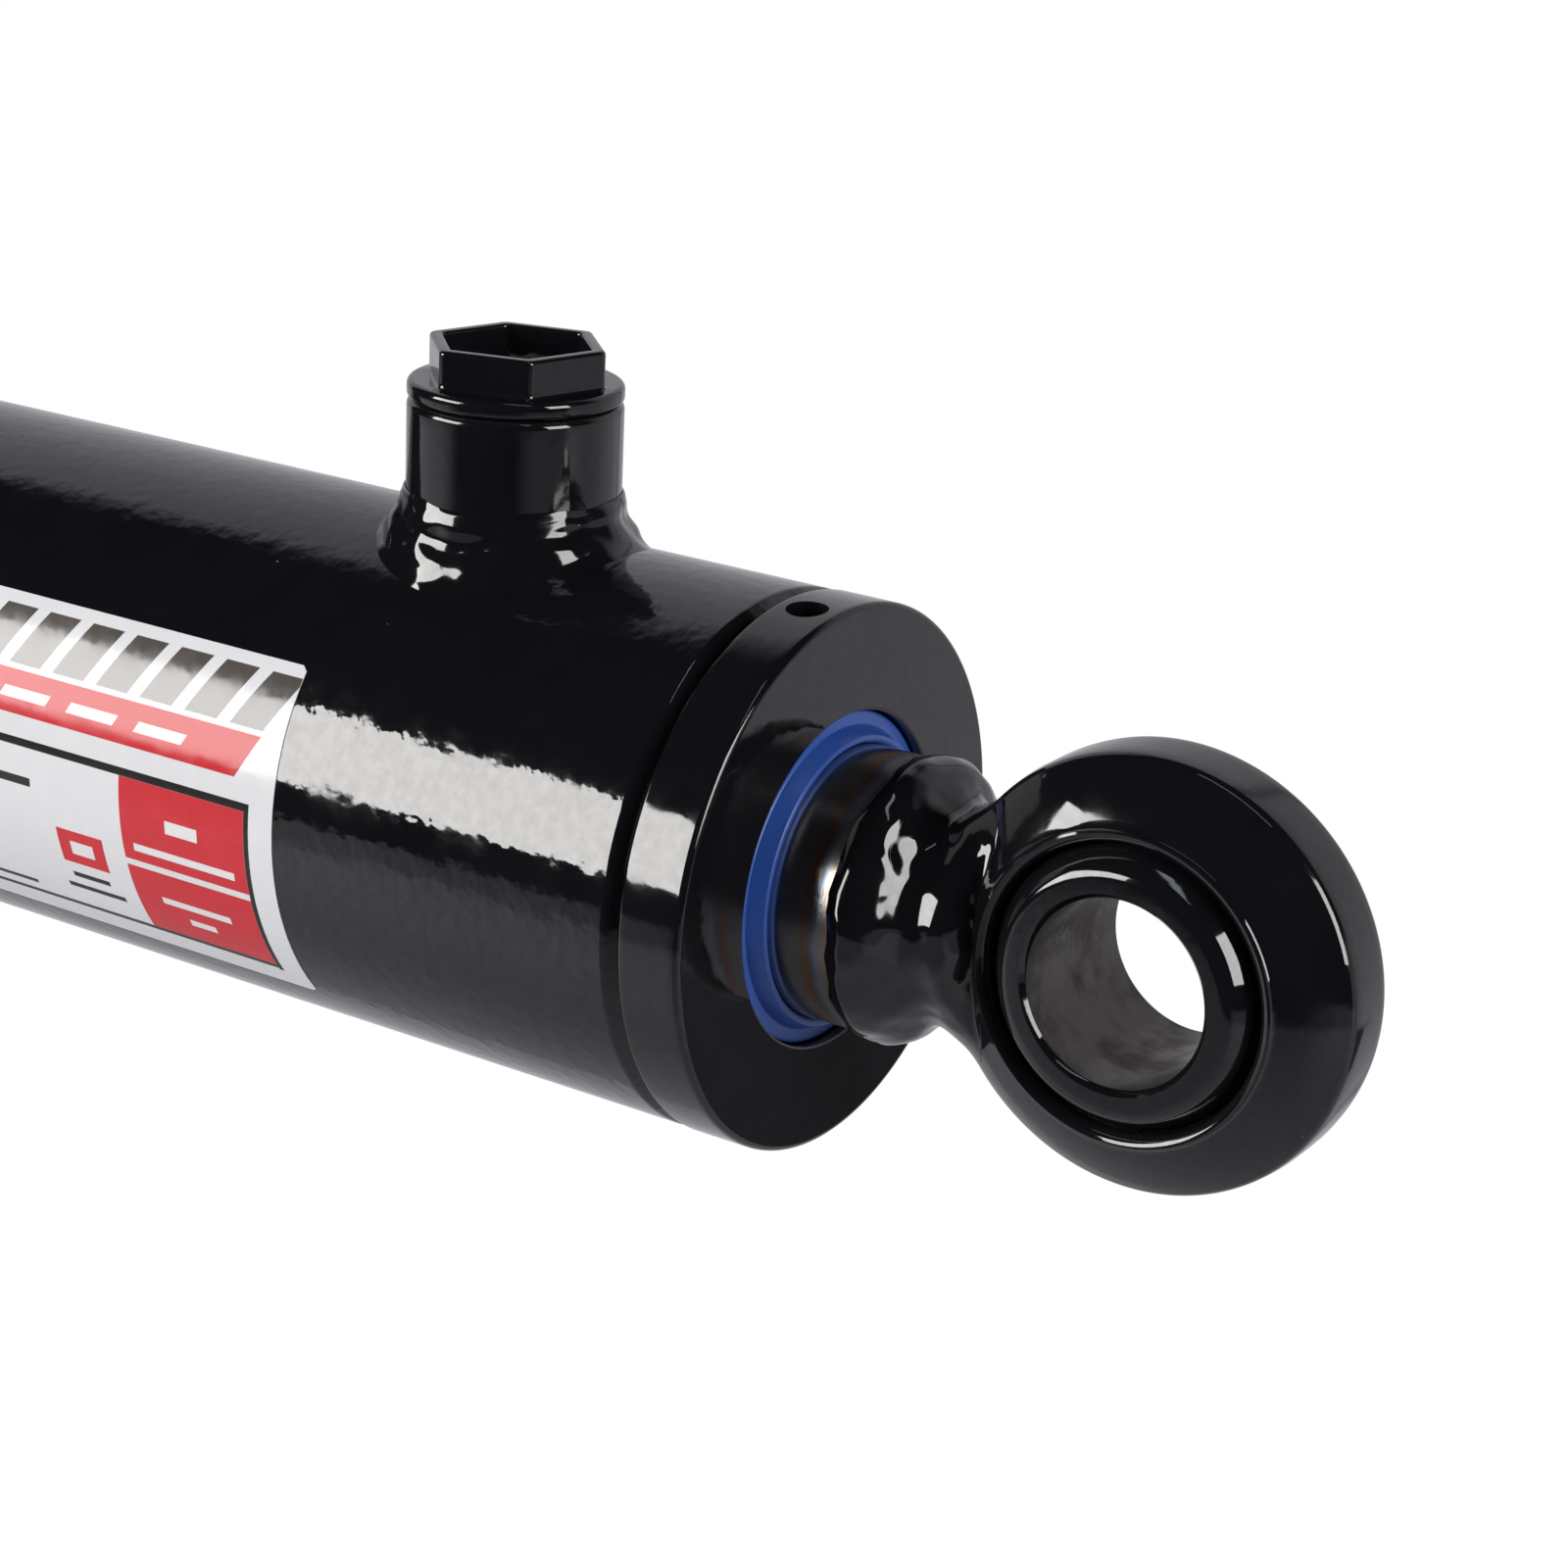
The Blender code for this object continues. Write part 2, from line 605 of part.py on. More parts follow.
def make_port_plug(name, centre):
    """The plug: a threaded shank, an O-ring neck, a flange and a hollow hexagon."""
    seat = BOSS_TOP + GAP
    flange_top = seat + PLUG_FLANGE
    foot = seat - PLUG_SHANK
    hollow_floor = seat - PLUG_HOLLOW
    body = [
        (PLUG_HOLLOW_R, flange_top),
        (PLUG_FLANGE_R - PLUG_FLANGE_EDGE, flange_top),
        (PLUG_FLANGE_R, flange_top - PLUG_FLANGE_EDGE),
        (PLUG_FLANGE_R, seat),
        (PLUG_NECK_R, seat),
        (PLUG_NECK_R, seat - PLUG_NECK),
        (PLUG_SHANK_R, seat - PLUG_NECK),
        (PLUG_SHANK_R, foot + PLUG_FLANGE_EDGE),
        (PLUG_SHANK_R - PLUG_FLANGE_EDGE, foot),
        (0.0, foot),
    ]
    body = [(0.0, hollow_floor), (PLUG_HOLLOW_R, hollow_floor)] + body
    plug = turned(name, body, "Z", centre, closed=False, steps=ROUND_SMALL)
    hexagon = prism(name + "_hexagon", 6, HEX_R, flange_top - PLUG_FLANGE / 2, HEX_TOP, centre, HEX_TURN)
    socket = prism(
        name + "_socket", 6, HEX_SOCKET_R, flange_top - PLUG_FLANGE / 4, HEX_TOP + GAP, centre, HEX_TURN
    )
    drill = prism(name + "_drill", ROUND_SMALL, PLUG_HOLLOW_R, hollow_floor, HEX_TOP, centre)
    combine(plug, as_cutter(hexagon), "UNION")
    combine(plug, as_cutter(socket))
    combine(plug, as_cutter(drill))
    return plug


def make_port_o_ring(name, centre):
    """The O-ring under the flange of a plug."""
    radius = PLUG_NECK_R + GAP + PLUG_RING_SECTION
    station = BOSS_TOP + GAP - PLUG_NECK / 2
    section = circle_profile(radius, PLUG_RING_SECTION, station)
    return turned(name, section, "Z", centre, steps=ROUND_SMALL)


def make_data_label(name):
    """The thin label on the side of the tube, bent to its curve."""
    low = LABEL_RIGHT - LABEL_LENGTH
    radius = TUBE_R + GAP
    profile = [(radius, LABEL_RIGHT), (radius, low)]
    span = LABEL_TOP - LABEL_BOTTOM
    label = turn_profile(name, profile, "X", (0.0, 0.0, 0.0), False, LABEL_STEPS, span)
    label.rotation_mode = "ZYX"
    label.rotation_euler = (-math.pi / 2 - LABEL_TOP, *AXIS_TURN["X"][1:])
    sheet = label.modifiers.new("sheet", "SOLIDIFY")
    sheet.thickness = LABEL_SHEET
    sheet.offset = 1.0
    return link(label, PARTS_COLLECTION)


def evaluate(piece):
    """Replace a piece's modifiers with the mesh that they make."""
    graph = bpy.context.evaluated_depsgraph_get()
    mesh = bpy.data.meshes.new_from_object(piece.evaluated_get(graph))
    piece.modifiers.clear()
    piece.data = mesh
    mesh.shade_smooth()
    mesh.set_sharp_from_angle(angle=math.radians(30.0))


def add_body(name, centre, pieces, parent=None):
    """Put a moving body's pieces under an empty on its joint axis."""
    empty = bpy.data.objects.new(name, None)
    empty.location = centre
    link(empty, PARTS_COLLECTION)
    if parent is not None:
        attach(empty, parent)
    for piece in pieces:
        attach(piece, empty)
    return empty


def attach(child, parent):
    """Parent an object and leave it where it is."""
    bpy.context.view_layer.update()
    child.parent = parent
    child.matrix_parent_inverse = parent.matrix_world.inverted()


def build_port(end, port_x, barrel):
    """A port's boss, weld, plug and O-ring; the plug and its ring move as bodies of their own."""
    centre = (port_x, 0.0, 0.0)
    fixed = [
        make_port_boss(end + "_port_boss", centre),
        make_port_weld(end + "_port_weld", centre),
    ]
    for piece in fixed:
        attach(piece, barrel)
    ring = make_port_o_ring(end + "_port_o_ring", centre)
    plug = make_port_plug(end + "_port_plug", centre)
    seal_body = add_body(end + "_port_seal_body", centre, [ring], barrel)
    add_body(end + "_port_plug_body", centre, [plug], seal_body)
    return fixed, ring, plug


def main():
    clear_scene()
    materials = make_materials()
    origin = (0.0, 0.0, 0.0)
    rod_eye = (RETRACTED, 0.0, 0.0)

    painted = [
        make_barrel_tube("barrel_tube"),
        make_base_cap("base_cap"),
        make_cap_weld("base_cap_weld"),
        make_eye_ring("base_eye_ring", origin),
        make_base_eye_weld("base_eye_weld", origin),
        make_gland("gland"),
    ]
    wiper = make_wiper("wiper_seal")
    rod_seal = make_rod_seal("rod_seal")
    bearing = ring_in_groove(GLAND_FACE, WEAR_GROOVE, WEAR_GROOVE[2] - GAP, GLAND_BORE_R)
    gland_wear_ring = make_split_ring("gland_wear_ring", bearing)
    gland_rings = make_gland_seals()
    label = make_data_label("data_label")
    fixed = painted + [wiper, rod_seal, gland_wear_ring, *gland_rings, label]
    barrel = add_body("barrel_body", origin, fixed)
    base_ball = make_eye_ball("base_eye_ball", origin)
    add_body("base_ball_body", origin, [base_ball], barrel)

    piston_rings = make_piston_rings()
    slider = add_body("piston_seals_body", origin, piston_rings, barrel)
    rod = make_rod("rod")
    piston = make_piston("piston")
    nut = make_piston_nut("piston_nut")
    piston_o_ring = make_piston_o_ring("piston_o_ring")
    rod_ring = make_eye_ring("rod_eye_ring", rod_eye)
    rod_weld = make_rod_eye_weld("rod_eye_weld", rod_eye)
    turning = add_body("rod_body", origin, [rod, piston, nut, piston_o_ring, rod_ring, rod_weld], slider)
    rod_ball = make_eye_ball("rod_eye_ball", rod_eye)
    add_body("rod_ball_body", rod_eye, [rod_ball], turning)

    ports = [build_port("rod", ROD_PORT_X, barrel), build_port("base", BASE_PORT_X, barrel)]
    port_painted = [piece for fixed_pieces, _, plug in ports for piece in (*fixed_pieces, plug)]
    port_rings = [ring for _, ring, _ in ports]

    finishes = {
        "black_paint": painted + port_painted + [rod_ring, rod_weld],
        "chrome_rod": [rod],
        "machined_steel": [piston, nut],
        "ball_steel": [base_ball, rod_ball],
        "blue_urethane": [wiper, rod_seal],
        "nitrile_rubber": [gland_rings[0], piston_o_ring, piston_rings[0], *port_rings],
        "wear_plastic": [gland_wear_ring, gland_rings[1], piston_rings[1], piston_rings[2]],
        "label_vinyl": [label],
    }
    for slot, pieces in finishes.items():
        for piece in pieces:
            evaluate(piece)
            piece.data.materials.clear()
            piece.data.materials.append(materials[slot])


main()
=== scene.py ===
"""The looks of the hydraulic cylinder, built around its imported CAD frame.

Row frame, in metres: the origin is the centre of the base eye, +X runs along the rod and +Z through
the ports. A ring is a pair of radius and station, where each is one number or one number for every
segment, and skin() joins a stack of rings into a piece.
"""
import math

import bmesh
import bpy
import numpy as np
from mathutils import Matrix, Vector, noise


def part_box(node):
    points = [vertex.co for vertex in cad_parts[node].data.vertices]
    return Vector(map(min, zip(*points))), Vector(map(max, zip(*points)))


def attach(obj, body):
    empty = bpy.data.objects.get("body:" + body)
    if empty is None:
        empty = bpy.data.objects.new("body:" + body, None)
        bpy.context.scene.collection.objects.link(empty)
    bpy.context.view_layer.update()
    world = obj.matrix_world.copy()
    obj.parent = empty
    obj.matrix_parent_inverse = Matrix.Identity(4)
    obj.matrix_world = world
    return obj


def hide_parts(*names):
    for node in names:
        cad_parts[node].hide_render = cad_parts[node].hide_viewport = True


MM = 0.001
SEGMENTS = 288
TURN = np.linspace(0.0, math.tau, SEGMENTS, endpoint=False)
COSINE = np.cos(TURN)
SINE = np.sin(TURN)
CREASE = math.radians(32.0)
ORIGIN = (0.0, 0.0, 0.0)

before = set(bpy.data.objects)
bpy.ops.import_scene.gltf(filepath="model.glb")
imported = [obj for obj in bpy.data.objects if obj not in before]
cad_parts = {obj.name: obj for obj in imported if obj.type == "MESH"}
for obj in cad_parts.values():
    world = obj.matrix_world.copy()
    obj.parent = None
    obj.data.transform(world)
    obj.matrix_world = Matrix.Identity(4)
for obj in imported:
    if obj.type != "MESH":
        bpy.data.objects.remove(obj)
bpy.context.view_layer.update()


# ---------------------------------------------------------------- sizes, from the frame

def high(node, axis):
    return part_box(node)[1][axis]


def low(node, axis):
    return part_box(node)[0][axis]


def middle(node):
    return (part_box(node)[0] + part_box(node)[1]) / 2


GLAND_FACE = high("gland", 0)
GLAND_BACK = low("gland", 0)
GLAND_R = high("gland", 1)
TUBE_START = low("barrel_tube", 0)
TUBE_END = high("barrel_tube", 0)
TUBE_R = high("barrel_tube", 1)
BORE_R = high("piston_seal", 2) + 0.3 * MM
ROD_R = high("rod", 2)
ROD_END = high("rod", 0)
ROD_START = low("rod", 0)
ROD_EYE = middle("rod_eye_ring")
BASE_EYE = middle("base_eye_ring")
EYE_R = high("rod_eye_ring", 2)
BALL_R = high("rod_eye_ball", 2)
BALL_HALF = high("rod_eye_ball", 1)
PIN_R = 25.4 / 2 * MM
WIPER_SEAT_R = high("wiper_seal", 1) + 0.3 * MM
WIPER_LIP = high("wiper_seal", 0)
BOSS_R = high("rod_port_boss", 1)
BOSS_TOP = high("rod_port_boss", 2)
PLUG_R = high("rod_port_plug", 1)
PLUG_TOP = high("rod_port_plug", 2)
PLUG_FOOT = low("rod_port_plug", 2)
CAP_FACE = low("base_cap", 0)
CAP_END = high("base_cap", 0)
ROD_PORT = middle("rod_port_boss").x
BASE_PORT = middle("base_port_boss").x
PORT_HOLE_R = 6.0 * MM
PISTON_FRONT = high("piston", 0)
PISTON_BACK = low("piston", 0)
PISTON_R = high("piston", 2)


# ---------------------------------------------------------------- outlines and meshes

def rounded(corners, closed=True, steps=5):
    """Return (radius, station) points along corners of (radius, station, fillet)."""
    points = []
    count = len(corners)
    for index, (radius, station, fillet) in enumerate(corners):
        here = Vector((radius, station))
        end_point = not closed and index in (0, count - 1)
        if fillet == 0.0 or end_point:
            points.append((radius, station))
            continue
        before = Vector(corners[index - 1][:2]) - here
        after = Vector(corners[(index + 1) % count][:2]) - here
        half = before.angle(after) / 2
        cut = min(fillet / math.tan(half), 0.49 * min(before.length, after.length))
        arc_r = cut * math.tan(half)
        inward = (before.normalized() + after.normalized()).normalized()
        centre = here + inward * arc_r / math.sin(half)
        start = here + before.normalized() * cut - centre
        stop = here + after.normalized() * cut - centre
        sweep = math.pi - 2 * half
        for step in range(steps + 1):
            share = step / steps
            point = centre + (
                start * math.sin((1 - share) * sweep) + stop * math.sin(share * sweep)
            ) / math.sin(sweep)
            points.append((point.x, point.y))
    return points


def place(axis, centre, radius, station):
    """Return the points of one ring as an (n, 3) array, or one point if it has no radius."""
    radius = np.broadcast_to(radius, TURN.shape)
    station = np.broadcast_to(station, TURN.shape)
    first, second = radius * COSINE, radius * SINE
    columns = {
        "X": (station, first, second),
        "Y": (first, station, second),
        "Z": (first, second, station),
    }[axis]
    points = np.stack(columns, axis=1) + np.array(centre)
    return points[:1] if radius.max() < 1e-9 else points


def mesh_object(name, points, faces):
    """Make a mesh object whose faces all point out."""
    mesh = bpy.data.meshes.new(name)
    mesh.from_pydata([tuple(point) for point in points], [], faces)
    shape = bmesh.new()
    shape.from_mesh(mesh)
    bmesh.ops.recalc_face_normals(shape, faces=shape.faces)
    shape.to_mesh(mesh)
    shape.free()
    piece = bpy.data.objects.new(name, mesh)
    bpy.context.scene.collection.objects.link(piece)
    return piece


def join_loops(name, loops, closed=True):
    """Join loops of points with quads, or with triangles next to a loop of one point."""
    numbers = []
    points = []
    for loop in loops:
        own = np.arange(len(points), len(points) + len(loop))
        numbers.append(np.broadcast_to(own, TURN.shape))
        points.extend(loop)
    pairs = list(zip(numbers, numbers[1:] + numbers[:1]))
    faces = []
    for first, second in pairs if closed else pairs[:-1]:
        for corners in zip(first, np.roll(first, -1), np.roll(second, -1), second):
            faces.append(list(dict.fromkeys(map(int, corners))))
    return mesh_object(name, points, faces)


def skin(name, rings, axis="X", centre=ORIGIN, closed=True):
    """Join rings of (radius, station) round an axis."""
    return join_loops(name, [place(axis, centre, *ring) for ring in rings], closed)


def turned(name, corners, axis="X", centre=ORIGIN, closed=True, steps=5):
    """Turn an outline with filleted corners."""
    return skin(name, rounded(corners, closed, steps), axis, centre, closed)


def bore_out(piece, axis_point, direction, radius, length):
    """Cut a round hole from axis_point along direction."""
    shape = bmesh.new()
    bmesh.ops.create_cone(
        shape, cap_ends=True, segments=64, radius1=radius, radius2=radius, depth=length
    )
    turn = Vector(direction).to_track_quat("Z", "Y").to_matrix().to_4x4()
    bmesh.ops.transform(shape, matrix=Matrix.Translation(axis_point) @ turn, verts=shape.verts)
    mesh = bpy.data.meshes.new("drill")
    shape.to_mesh(mesh)
    shape.free()
    drill = bpy.data.objects.new("drill", mesh)
    bpy.context.scene.collection.objects.link(drill)
    cut = piece.modifiers.new("hole", "BOOLEAN")
    cut.object = drill
    graph = bpy.context.evaluated_depsgraph_get()
    result = bpy.data.meshes.new_from_object(piece.evaluated_get(graph))
    piece.modifiers.clear()
    piece.data = result
    bpy.data.objects.remove(drill)
    return piece


def finish_piece(piece, body, slot, materials, *nodes):
    """Shade a piece, give it its materials, parent it to its CAD body and hide the CAD nodes it replaces;
    slot is not used.
    """
    mesh = piece.data
    for material in materials:
        mesh.materials.append(material)
    mesh.shade_smooth()
    mesh.set_sharp_from_angle(angle=CREASE)
    weighted = piece.modifiers.new("flat faces stay flat", "WEIGHTED_NORMAL")
    weighted.keep_sharp = True
    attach(piece, body)
    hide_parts(*nodes)
    return piece


def bare_faces(piece, is_bare):
    """Give the second material to the faces whose centre passes the test."""
    for face in piece.data.polygons:
        face.material_index = int(is_bare(face.center, face.normal))


def ripple(points, wavelength, height, seed=0.0):
    """Return a smooth random height for each of (n, 3) points."""
    offset = Vector((seed, seed * 0.7, -seed))
    values = [noise.noise(Vector(point) / wavelength + offset) for point in points]
    return height * np.array(values)


# ---------------------------------------------------------------- materials

def new_material(name):
    material = bpy.data.materials.new(name)
    material.use_nodes = True
    tree = material.node_tree
    return material, tree, tree.nodes["Principled BSDF"]


def add(tree, kind, inputs=(), output=0, **settings):
    """Add a node, set or link its inputs, and return one output."""
    node = tree.nodes.new(kind)
    for name, value in settings.items():
        setattr(node, name, value)
    for socket, value in dict(inputs).items():
        if isinstance(value, bpy.types.NodeSocket):
            tree.links.new(value, node.inputs[socket])
        else:
            node.inputs[socket].default_value = value
    return node.outputs[output]


def calc(tree, operation, first, second=0.0):
    return add(tree, "ShaderNodeMath", {0: first, 1: second}, operation=operation)


def spread(tree, value, from_low, from_high, to_low=0.0, to_high=1.0, kind="SMOOTHSTEP"):
    """Map a value from one range to another, held at both ends."""
    inputs = {0: value, 1: from_low, 2: from_high, 3: to_low, 4: to_high}
    return add(tree, "ShaderNodeMapRange", inputs, interpolation_type=kind)


def object_place(tree):
    return add(tree, "ShaderNodeTexCoord", output=3)


def outputs_of(tree, kind, inputs):
    """Add a node and return all its outputs."""
    return add(tree, kind, inputs).node.outputs


def noise_at(tree, place_at, scale, detail=2.0, roughness=0.5):
    inputs = {"Vector": place_at, "Scale": scale, "Detail": detail, "Roughness": roughness}
    return add(tree, "ShaderNodeTexNoise", inputs)


def stretched(tree, place_at, factors):
    return add(tree, "ShaderNodeMapping", {0: place_at, 3: factors})


def mixed(tree, share, first, second):
    inputs = {0: share, 6: first, 7: second}
    return add(tree, "ShaderNodeMix", inputs, output=2, data_type="RGBA")


def bumped(tree, height, distance, under=None):
    inputs = {"Height": height, "Distance": distance, "Strength": 1.0}
    if under is not None:
        inputs["Normal"] = under
    return add(tree, "ShaderNodeBump", inputs)


def link(tree, output, shader, socket):
    tree.links.new(output, shader.inputs[socket])


def rgb(red, green, blue):
    return (red, green, blue, 1.0)


def make_paint(name, peel, wave=0.00012):
    """Thick gloss black enamel: orange peel, slow waves, a few specks of dust."""
    material, tree, shader = new_material(name)
    at = object_place(tree)
    tone = noise_at(tree, at, 90.0, 3.0)
    black = mixed(tree, tone, rgb(0.0036, 0.0035, 0.0048), rgb(0.0062, 0.0060, 0.0076))
    cells = outputs_of(tree, "ShaderNodeTexVoronoi", {"Vector": at, "Scale": 210.0})
    near = spread(tree, cells["Distance"], 0.018, 0.036, 1.0, 0.0)
    chosen = spread(tree, cells["Color"], 0.80, 0.82)
    speck = calc(tree, "MULTIPLY", near, chosen)
    link(tree, mixed(tree, speck, black, rgb(0.22, 0.22, 0.21)), shader, "Base Color")
    smear = spread(tree, noise_at(tree, at, 150.0, 2.0), 0.35, 0.75, 0.045, 0.11)
    link(tree, smear, shader, "Roughness")
    mottle = noise_at(tree, at, 620.0, 2.0, 0.6)
    link(tree, spread(tree, mottle, 0.25, 0.75, 0.455, 0.525), shader, "Specular IOR Level")
    slow = bumped(tree, noise_at(tree, at, 55.0, 1.0), wave)
    skinned = bumped(tree, noise_at(tree, at, 430.0, 1.5, 0.4), peel, slow)
    fine = bumped(tree, noise_at(tree, at, 1200.0, 1.0), peel * 0.10, skinned)
    link(tree, bumped(tree, speck, 0.00003, fine), shader, "Normal")
    return material


def make_chrome():
    """Hard chrome, tinted by heat next to the weld at the rod's end."""
    material, tree, shader = new_material("rod_chrome")
    at = object_place(tree)
    along = outputs_of(tree, "ShaderNodeSeparateXYZ", {0: at})[0]
    wander = spread(tree, noise_at(tree, at, 130.0, 2.0), 0.2, 0.8, -0.0006, 0.0006)
    station = calc(tree, "ADD", along, wander)
    share = spread(tree, station, GLAND_FACE + 3.5 * MM, GLAND_FACE + 11.0 * MM, kind="LINEAR")
    tint = add(tree, "ShaderNodeValToRGB", {0: share})
    colors = tint.node.color_ramp.elements
    plain = rgb(0.56, 0.55, 0.54)
    stops = (
        (0.0, plain),
        (0.30, rgb(0.52, 0.48, 0.44)),
        (0.42, rgb(0.62, 0.36, 0.22)),
        (0.52, rgb(0.55, 0.36, 0.28)),
        (0.60, rgb(0.38, 0.48, 0.66)),
        (0.68, rgb(0.66, 0.70, 0.74)),
        (0.82, rgb(0.60, 0.50, 0.40)),
        (1.0, rgb(0.30, 0.22, 0.17)),
    )
    while len(colors) < len(stops):
        colors.new(0.5)
    for element, (position, color) in zip(colors, stops):
        element.position = position
        element.color = color
    dull = noise_at(tree, at, 70.0, 4.0)
    rubbed = spread(tree, dull, 0.55, 0.8, 0.0, 0.35)
    link(tree, mixed(tree, rubbed, tint, plain), shader, "Base Color")
    shader.inputs["Metallic"].default_value = 1.0
    link(tree, spread(tree, dull, 0.3, 0.8, 0.16, 0.30), shader, "Roughness")
    lines = noise_at(tree, stretched(tree, at, (5200.0, 90.0, 90.0)), 1.0, 2.0)
    link(tree, bumped(tree, lines, 0.000004), shader, "Normal")
    return material


def make_steel(name, light, dark, lines, roughness=(0.25, 0.42), grooves=0.000012):
    """Turned steel with tool marks across the stretched axis and brown stains."""
    material, tree, shader = new_material(name)
    at = object_place(tree)
    stain = spread(tree, noise_at(tree, at, 85.0, 4.0, 0.6), 0.38, 0.66)
    marks = noise_at(tree, stretched(tree, at, lines), 1.0, 3.0)
    worn = calc(tree, "MULTIPLY", stain, spread(tree, marks, 0.3, 0.7, 0.55, 1.0))
    link(tree, mixed(tree, worn, rgb(*light), rgb(*dark)), shader, "Base Color")
    shader.inputs["Metallic"].default_value = 1.0
    link(tree, spread(tree, stain, 0.0, 1.0, *roughness), shader, "Roughness")
    link(tree, bumped(tree, marks, grooves), shader, "Normal")
    return material


def make_polymer(name, color, other, roughness, grain=0.00001):
    """A moulded rubber or plastic with a faint mottle."""
    material, tree, shader = new_material(name)
    at = object_place(tree)
    mottle = noise_at(tree, at, 160.0, 3.0)
    link(tree, mixed(tree, mottle, rgb(*color), rgb(*other)), shader, "Base Color")
    link(tree, spread(tree, mottle, 0.3, 0.7, roughness, roughness + 0.12), shader, "Roughness")
    link(tree, bumped(tree, noise_at(tree, at, 1600.0, 2.0), grain), shader, "Normal")
    return material


def make_urethane():
    """Blue seal urethane, slightly clear, with fine turning marks around it."""
    material, tree, shader = new_material("wiper_urethane")
    at = object_place(tree)
    mottle = noise_at(tree, at, 120.0, 2.0)
    blue = mixed(tree, mottle, rgb(0.016, 0.060, 0.27), rgb(0.024, 0.078, 0.33))
    link(tree, blue, shader, "Base Color")
    shader.inputs["Subsurface Weight"].default_value = 0.15
    shader.inputs["Subsurface Scale"].default_value = 0.001
    link(tree, spread(tree, mottle, 0.3, 0.7, 0.30, 0.42), shader, "Roughness")
    link(tree, bumped(tree, noise_at(tree, at, 900.0, 2.0), 0.00001), shader, "Normal")
    return material


# ---------------------------------------------------------------- the label's print

LABEL_RIGHT = GLAND_FACE - 68.2 * MM
LABEL_LEFT = low("data_label", 0)
LABEL_TOP = math.radians(37.0)
LABEL_BOTTOM = math.radians(-42.2)
LABEL_R = TUBE_R + 0.13 * MM
INK_EDGE = 0.10 * MM


def field(tree, along, around, left, right, bottom, top):
    """A mask that is 1 on a rectangle of the label: stations in mm from the gland, heights in degrees."""
    def edge(value, limit):
        return spread(tree, value, limit - INK_EDGE / 2, limit + INK_EDGE / 2)

    arc = math.radians(1.0) * TUBE_R
    inside_x = calc(
        tree, "SUBTRACT", edge(along, GLAND_FACE + left * MM), edge(along, GLAND_FACE + right * MM)
    )
    inside_y = calc(tree, "SUBTRACT", edge(around, bottom * arc), edge(around, top * arc))
    return calc(tree, "MULTIPLY", inside_x, inside_y)


def any_of(tree, masks):
    total = masks[0]
    for mask in masks[1:]:
        total = calc(tree, "MAXIMUM", total, mask)
    return total


def label_masks(tree, along, lean, around):
    """Masks of the foil bars, the red panels, the dark rules and the white strokes."""
    def areas(value, limits):
        return any_of(tree, [field(tree, value, around, *limit) for limit in limits])

    bar_rights = [-80.0 - 8.4 * count for count in range(13)]
    dash_lefts = [-178.0 + 13.0 * count for count in range(7)]
    foil = areas(lean, [(right - 6.0, right, 21.6, 34.2) for right in bar_rights])
    panels = [
        (-96.6, -73.3, -14.9, 4.2),
        (-96.6, -73.3, -35.1, -16.5),
        (-109.9, -100.9, -21.2, -12.5),
    ]
    header = (-187.0, -79.5, 10.9, 20.4)
    red = any_of(tree, [areas(lean, [header]), areas(along, panels)])
    rules = [
        (-187.0, -72.4, 4.2, 6.0),
        (-73.3, -72.4, -36.9, 6.0),
        (-187.0, -72.4, -36.4, -35.1),
    ]
    lines = [
        (-187.0, -114.0, -4.6, -2.6),
        (-187.0, -122.0, -9.0, -7.6),
        (-187.0, -118.5, -32.6, -31.4),
        (-109.0, -101.8, -25.4, -24.0),
        (-111.0, -99.8, -29.2, -27.8),
    ]
    dark = areas(along, rules + lines)
    strokes = [
        (-94.5, -75.6, -12.4, -10.6),
        (-88.0, -82.0, -6.0, -3.0),
        (-91.5, -78.6, -25.2, -23.4),
        (-87.5, -82.6, -30.0, -28.2),
        (-107.6, -103.2, -18.6, -15.2),
    ]
    dashes = areas(lean, [(left, left + 9.0, 14.2, 16.6) for left in dash_lefts])
    white = any_of(tree, [areas(along, strokes), dashes])
    return foil, red, dark, white


def make_label_print():
    """Gloss vinyl: white ground, foil bars coloured dark as a painted reflection of the dark room, red
    panels, dark rules and plain bars for print.
    """
    material, tree, shader = new_material("label_print")
    at = object_place(tree)
    along, left_side, height = outputs_of(tree, "ShaderNodeSeparateXYZ", {0: at})
    angle = calc(tree, "ARCTAN2", height, calc(tree, "MULTIPLY", left_side, -1.0))
    around = calc(tree, "MULTIPLY", angle, TUBE_R)
    lean = calc(tree, "SUBTRACT", along, calc(tree, "MULTIPLY", around, 0.55))
    foil, red, dark, white = label_masks(tree, along, lean, around)
    fade = noise_at(tree, at, 300.0, 3.0)
    ground = mixed(tree, fade, rgb(0.60, 0.61, 0.64), rgb(0.65, 0.65, 0.67))
    reds = mixed(tree, fade, rgb(0.47, 0.022, 0.030), rgb(0.53, 0.036, 0.044))
    # The foil bars take a dark colour: a painted reflection of the dark room in the silver foil. Their
    # raised gloss below is real.
    color = mixed(tree, foil, ground, rgb(0.075, 0.066, 0.060))
    for mask, ink in (
        (red, reds), (dark, rgb(0.020, 0.018, 0.018)), (white, rgb(0.66, 0.65, 0.66))
    ):
        color = mixed(tree, mask, color, ink)
    link(tree, color, shader, "Base Color")
    link(tree, spread(tree, foil, 0.0, 1.0, 0.20, 0.42), shader, "Specular IOR Level")
    link(tree, spread(tree, fade, 0.3, 0.7, 0.10, 0.17), shader, "Roughness")
    slow = bumped(tree, noise_at(tree, at, 55.0, 1.0), 0.00010)
    link(tree, bumped(tree, noise_at(tree, at, 380.0, 1.0), 0.000030, slow), shader, "Normal")
    return material


